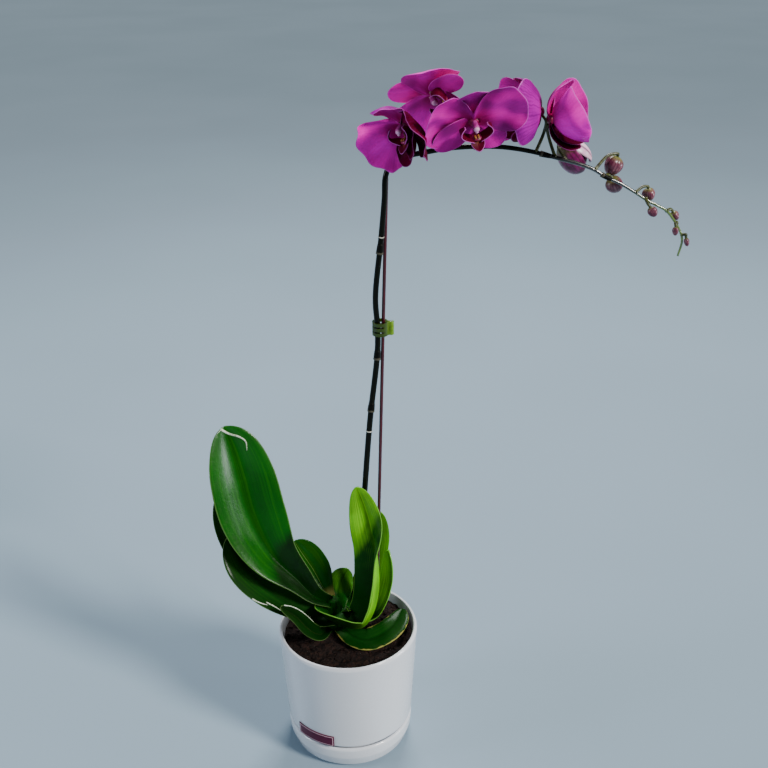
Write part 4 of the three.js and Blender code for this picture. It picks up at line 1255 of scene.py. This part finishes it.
def add_bud(bm, bud, long, radius, sides, rings):
    """A blunt egg with three seams."""
    verts = add_ball(bm, (0, 0, 0), (1, 1, 1), segments=sides, rings=rings)
    for vert in verts:
        around = math.atan2(vert.co.y, vert.co.x)
        seam = 0.05 * math.exp(-((math.sin(1.5 * around) / 0.12) ** 2))
        girth = radius * (1 - 0.06 * math.cos(3 * around) - seam) * (1 - 0.16 * vert.co.z)
        vert.co = Vector((vert.co.x * girth, vert.co.y * girth, vert.co.z * long / 2))
    bmesh.ops.transform(bm, matrix=bud_frame(bud), verts=verts)
    return verts


def copied_solid(node_name):
    """A welded copy of a CAD node, with its flat faces whole, in millimetres."""
    bm = new_bmesh()
    bm.from_mesh(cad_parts[node_name].data)
    bm.transform(Matrix.Scale(1 / MM, 4))
    bmesh.ops.remove_doubles(bm, verts=bm.verts, dist=1e-3)
    bmesh.ops.dissolve_limit(
        bm, angle_limit=math.radians(1), verts=bm.verts, edges=bm.edges, delimit=set()
    )
    return bm


def opening_sepal(bud, turn):
    """Where each point of one of the opening bud's sepals lies."""
    out, long, radius = bud_frame(bud), bud["long"], bud["radius"]

    def place(v, u):
        t = 0.06 + 0.86 * u
        angle = math.radians(turn + v * 66 * (1 - 0.8 * u**3))
        girth = radius * math.sin(math.pi * t) ** 0.75 + 2 * u * u
        height = -long / 2 * math.cos(math.pi * t)
        return out @ Vector((girth * math.cos(angle), girth * math.sin(angle), height))

    return place


def camera_turn():
    """How the camera stands: it looks along +Y, pitched down and rolled."""
    pitch, roll = math.radians(CAMERA_PITCH), math.radians(CAMERA_ROLL)
    forward = Vector((0, math.cos(pitch), -math.sin(pitch)))
    down = Vector((0, -math.sin(pitch), -math.cos(pitch)))
    right = Vector((1, 0, 0))
    image_right = right * math.cos(roll) - down * math.sin(roll)
    image_down = right * math.sin(roll) + down * math.cos(roll)
    return Matrix((image_right, -image_down, -forward)).transposed().to_4x4()


def add_light(name, kind, place, strength, colour):
    """A light that looks at AIM."""
    light = bpy.data.lights.new(name, kind)
    light.energy = strength
    light.color = linear(colour)
    lamp = bpy.data.objects.new(name, light)
    lamp.location = place
    lamp.rotation_mode = "QUATERNION"
    lamp.rotation_quaternion = (Vector(AIM) - Vector(place)).to_track_quat("-Z", "Y")
    bpy.context.scene.collection.objects.link(lamp)
    return light


# Operators


class OrchidPot(bpy.types.Operator):
    """Builds the pot and its saucer."""

    bl_idname = "moth_orchid.pot"
    bl_label = "Pot and saucer"

    def execute(self, context):
        glaze = stoneware_glaze(context.scene.orchid_pot)
        outlines = {"pot": [*POT_PROFILE, POT_PROFILE[0]], "saucer": SAUCER_PROFILE}
        for name, outline in outlines.items():
            piece = finish_piece(turned(outline, 96), f"glazed_{name}", [glaze], [name])
            round_edges(piece, 0.9, 12)
        return {"FINISHED"}


class OrchidLabel(bpy.types.Operator):
    """Builds the plain label on the pot."""

    bl_idname = "moth_orchid.label"
    bl_label = "Label"

    def execute(self, context):
        low, high, thick = LABEL["low"], LABEL["high"], LABEL["thick"]
        middle, half = (LABEL["from"] + LABEL["to"]) / 2, (LABEL["to"] - LABEL["from"]) / 2

        def place(v, u):
            angle = math.radians(middle + half * v)
            height = low + (high - low) * u
            radius = body_radius(height) + LABEL["gap"] + thick / 2
            return Vector((radius * math.cos(angle), radius * math.sin(angle), height))

        bm = new_bmesh()
        add_sheet(bm, 32, 8, place)
        vinyl = vinyl_label(context.scene.orchid_pot)
        piece = finish_piece(bm, "pot_label", [vinyl], ["label"])
        give_wall(piece, thick, levels=0)
        return {"FINISHED"}


class OrchidMix(bpy.types.Operator):
    """Builds the potting mix, its chips and its fibres."""

    bl_idname = "moth_orchid.mix"
    bl_label = "Potting mix"

    def execute(self, context):
        settings = context.scene.orchid_mix
        bark = bark_and_coir("composted_bark", settings.bark, settings.coir)
        coir = bark_and_coir("coconut_fibre", settings.coir, settings.bark)
        bm = new_bmesh()
        add_mix_body(bm)
        seeded = random.Random(MIX_SEED)
        # The chips' noise_vector has a seed of its own, which is the time if none is set.
        noise.seed_set(MIX_SEED)
        for _ in range(settings.chips):
            add_chip(bm, seeded)
        for _ in range(settings.fibres):
            add_fibre(bm, seeded)
        finish_piece(bm, "bark_mix", [bark, coir], ["potting_mix"])
        return {"FINISHED"}


class OrchidLeaves(bpy.types.Operator):
    """Builds the ten leaves and the crown that they grow from."""

    bl_idname = "moth_orchid.leaves"
    bl_label = "Leaves and crown"

    def execute(self, context):
        settings = context.scene.orchid_leaves
        leaves = {name: {**PLAIN_LEAF, **leaf} for name, leaf in LEAVES.items()}
        for name, leaf in leaves.items():
            self.add_blade(name, leaf, settings)
        dry = mottled_skin("dry_leaf_thread", settings.scar, linear("#93a684"), 1.5, 0.7)
        for name, leaf in leaves.items():
            self.add_scars(name, leaf, dry)
        crown = turned(CROWN_PROFILE, 32, CROWN_AT)
        piece = finish_piece(
            crown, "crown_stock", [crown_skin(settings)], ["crown"])
        round_edges(piece, 1.2, 12)
        return {"FINISHED"}

    def add_blade(self, name, leaf, settings):
        """A leaf's blade, with its own skin on each side."""
        bm = new_bmesh()
        add_sheet(bm, 26, 64, leaf_sheet(leaf), lambda v, u: 1 - 0.45 * v * v)
        upper = leaf_skin(f"{name}_upper_skin", leaf, settings)
        lower = leaf_skin(f"{name}_lower_skin", {**leaf, **UNDERSIDE}, settings, under=True)
        slot = "young_leaf_green" if "right" in name else "leaf_green"
        piece = finish_piece(bm, f"{name}_blade", [upper, lower], [name])
        give_wall(piece, settings.thickness / MM, back_material=1)

    def add_scars(self, name, leaf, skin):
        """The dry threads on a leaf's upper side."""
        place, face = leaf_sheet(leaf), Route(leaf["face"])
        for index, (wide, spots) in enumerate(leaf["scars"]):
            line = Route([
                place(v, u) + SCAR_RISE * face.point(u).normalized() for v, u in spots])
            bm = new_bmesh()
            add_stalk(bm, line.at, lambda u, wide=wide: 0.1 + wide * (1 - u) ** 0.5, 30, 10)
            finish_piece(bm, f"{name}_scar_{index + 1}", [skin], [name])


class OrchidFlowers(bpy.types.Operator):
    """Builds the five open flowers."""

    bl_idname = "moth_orchid.flowers"
    bl_label = "Flowers"

    def execute(self, context):
        settings = context.scene.orchid_flowers
        face = tepal_skin("petal_face", settings.petal, settings, 0.15)
        # Painted light and shade: a lit copy of the petal colour, and a dark crimson for tepals
        # in shadow.
        bright = tepal_skin("bright_petal", settings.bright, settings, 0.15)
        back = tepal_skin("petal_back", settings.petal_back, settings, 0.8)
        shadowed = tepal_skin("painted_shade_tepal", settings.sepal, settings, 0.3, 0.35)
        skins = [face, back, shadowed, shadowed, bright, bright, face, face]
        lip = lip_skin("striped_lip_skin", settings, 0.6)
        lobe = lip_skin("lip_lobe_skin", settings, 0.0)
        gold = mottled_skin("lip_ridge", settings.gold, settings.lip, 0.8)
        cap = mottled_skin("column_cap", settings.cap, linear("#e9b6dc"))
        pink = mottled_skin("column_skin", linear("#9c1c7c"), linear("#c04aa0"))
        dark = mottled_skin("hub_skin", settings.throat, linear("#5c0226"))
        thick = settings.thickness / MM
        for index, bloom in enumerate(BLOOMS):
            name = f"bloom_{index + 1}"
            piece = finish_piece(
                perianth_mesh(bloom), f"{name}_tepals", skins, [f"{name}_perianth"],
            )
            give_wall(piece, thick, back_material=1)
            piece = finish_piece(
                lip_mesh(bloom), f"{name}_lip_lobes", [lip, lobe], [f"{name}_lip"],
            )
            give_wall(piece, thick)
            finish_piece(
                lip_core_mesh(bloom), f"{name}_lip_ridge", [dark, gold], [f"{name}_lip"],
            )
            finish_piece(
                column_mesh(bloom), f"{name}_column_cap", [pink, cap, dark],
                [f"{name}_column"],
            )
        return {"FINISHED"}


class OrchidSpike(bpy.types.Operator):
    """Builds the stem with its sheaths and the stalks of the flowers and buds."""

    bl_idname = "moth_orchid.spike"
    bl_label = "Flower spike"

    def execute(self, context):
        settings = context.scene.orchid_spike
        line = Route(STEM)
        bm = new_bmesh()
        add_stalk(bm, line.at, lambda u: blend(STEM_RADII, u), 320, 20)
        for start in SHEATHS:
            radius = blend(STEM_RADII, start)
            add_stalk(
                bm, lambda u, start=start: line.at(start + SHEATH_LENGTH * u),
                lambda u, radius=radius: radius + SHEATH_FLARE * (1 - u) ** 0.7, 6, 20,
                material=1,
            )
        for start in SCAR_RINGS:
            radius = blend(STEM_RADII, start) + SCAR_RING_RISE
            add_stalk(
                bm, lambda u, start=start: line.at(start + SCAR_RING_LENGTH * u),
                lambda u, radius=radius: radius, 2, 20, material=3,
            )
        for route in [*map(flower_pedicel, BLOOMS), *map(bud_pedicel, BUDS)]:
            add_stalk(
                bm, route.at,
                lambda u: 1.35 - 0.25 * u + 0.5 * max(0.0, 1 - u / 0.12) ** 2, 24, 14,
                material=2,
            )
        finish_piece(
            bm, "spike_stem",
            [
                stem_skin(settings),
                sheath_skin(settings),
                mottled_skin("pedicel_skin", settings.pedicel, linear("#2f3318"), 3, 0.32),
                mottled_skin("dry_scar", linear("#d8d4c4"), linear("#6c6858"), 2, 0.6),
            ],
            ["spike"],
        )
        return {"FINISHED"}


class OrchidBuds(bpy.types.Operator):
    """Builds the opening bud and the seven closed ones."""

    bl_idname = "moth_orchid.buds"
    bl_label = "Buds"

    def execute(self, context):
        settings = context.scene.orchid_spike
        closed = bud_skin("bud_skin", settings.bud, linear("#8e5864"), 18, settings)
        # Painted light and shade: the opening bud's core and two sepals are a dark shaded
        # magenta, and the lit sepal is pale.
        shaded = bud_skin(
            "opening_bud_skin", linear("#5c0040"), linear("#900a68"), 7, settings)
        lit = bud_skin("lit_sepal_skin", linear("#f0b8dc"), linear("#f8dcec"), 4, settings)
        for index, bud in enumerate(BUDS[1:]):
            bm = new_bmesh()
            add_bud(bm, bud, bud["long"], bud["radius"], 48, 24)
            finish_piece(
                bm, f"closed_bud_{index + 1}", [closed], [f"bud_{index + 1}"])
        bud = BUDS[0]
        bm = new_bmesh()
        add_bud(bm, bud, bud["long"] * 0.97, bud["radius"] * 0.88, 36, 20)
        finish_piece(bm, "opening_bud_core", [shaded], ["bud_opening"])
        bm = new_bmesh()
        for turn in SEPAL_TURNS:
            place = opening_sepal(bud, turn)
            add_sheet(bm, 18, 24, place, material=int(turn == LIT_SEPAL))
        piece = finish_piece(
            bm, "opening_bud_sepals", [shaded, lit], ["bud_opening"])
        give_wall(piece, 0.8)
        return {"FINISHED"}


class OrchidSupport(bpy.types.Operator):
    """Builds the stake, the claw clip's two jaws and its pin."""

    bl_idname = "moth_orchid.support"
    bl_label = "Stake and clip"

    def execute(self, context):
        settings = context.scene.orchid_support
        foot, top = Vector(STAKE_FOOT), Vector(STAKE_TOP)
        bm = new_bmesh()
        add_stalk(
            bm, lambda u: foot.lerp(top, u),
            lambda u: STAKE_RADIUS * min(1.0, 0.55 + (1 - u) * 120), 60, 20,
        )
        finish_piece(bm, "stake_rod", [coated_rod(settings)], ["stake"])
        plastic = moulded_clip(settings)
        for node_name, body in (("clip_jaw_fixed", PLANT), ("clip_jaw_moving", JAW)):
            piece = finish_piece(
                copied_solid(node_name), f"{node_name}_moulding", [plastic], [node_name],
                body, sharp=35,
            )
            round_edges(piece, 0.22)
        piece = finish_piece(
            copied_solid("clip_pin"), "clip_pin_wire", [drawn_steel()], ["clip_pin"],
            sharp=50,
        )
        round_edges(piece, 0.15, 50)
        return {"FINISHED"}


class OrchidStage(bpy.types.Operator):
    """Sets up the floor, the lights and the camera."""

    bl_idname = "moth_orchid.stage"
    bl_label = "Stage"

    def execute(self, context):
        settings = context.scene.orchid_stage
        bm = bmesh.new()
        bmesh.ops.create_grid(bm, x_segments=1, y_segments=1, size=FLOOR_SIZE)
        mesh = bpy.data.meshes.new("floor")
        bm.to_mesh(mesh)
        bm.free()
        mesh.materials.append(matt_paper(settings))
        floor = bpy.data.objects.new("floor", mesh)
        context.scene.collection.objects.link(floor)

        key = add_light("key", "SUN", KEY_AT, settings.key_strength, "#fffaf4")
        key.angle = math.radians(KEY_ANGLE)
        for name, (place, strength, colour) in SOFT_LIGHTS.items():
            add_light(name, "AREA", place, strength, colour).size = SOFT_LIGHT_SIZE
        world = bpy.data.worlds.new("studio")
        world.use_nodes = True
        background = world.node_tree.nodes["Background"].inputs
        background[0].default_value = (*linear(ROOM_COLOUR), 1)
        background[1].default_value = ROOM_STRENGTH
        context.scene.world = world

        lens = bpy.data.cameras.new("camera")
        lens.lens = settings.focal_length
        lens.sensor_width = 36
        camera = bpy.data.objects.new("camera", lens)
        camera.matrix_world = Matrix.Translation(CAMERA_AT) @ camera_turn()
        context.scene.collection.objects.link(camera)
        context.scene.camera = camera
        return {"FINISHED"}


OPERATORS = [
    OrchidStage, OrchidPot, OrchidLabel, OrchidMix, OrchidLeaves, OrchidFlowers,
    OrchidSpike, OrchidBuds, OrchidSupport,
]


class OrchidPanel(bpy.types.Panel):
    """Lists the operators and the settings."""

    bl_idname = "VIEW3D_PT_moth_orchid"
    bl_label = "Potted moth orchid"
    bl_space_type = "VIEW_3D"
    bl_region_type = "UI"
    bl_category = "Orchid"

    def draw(self, context):
        layout = self.layout
        for operator in OPERATORS:
            layout.operator(operator.bl_idname)
        for name, group in SETTINGS.items():
            box = layout.box()
            box.label(text=group.__doc__)
            for setting in group.__annotations__:
                box.prop(getattr(context.scene, name), setting)


def register():
    """Registers the settings, the operators and the panel."""
    for name, group in SETTINGS.items():
        bpy.utils.register_class(group)
        setattr(bpy.types.Scene, name, bpy.props.PointerProperty(type=group))
    for item in (*OPERATORS, OrchidPanel):
        bpy.utils.register_class(item)


def unregister():
    """Removes what register added."""
    for item in (OrchidPanel, *reversed(OPERATORS)):
        bpy.utils.unregister_class(item)
    for name, group in reversed(SETTINGS.items()):
        delattr(bpy.types.Scene, name)
        bpy.utils.unregister_class(group)


def main():
    """Builds everything in order."""
    register()
    for operator in OPERATORS:
        category, name = operator.bl_idname.split(".")
        getattr(getattr(bpy.ops, category), name)()
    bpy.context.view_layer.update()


if __name__ == "__main__":
    main()
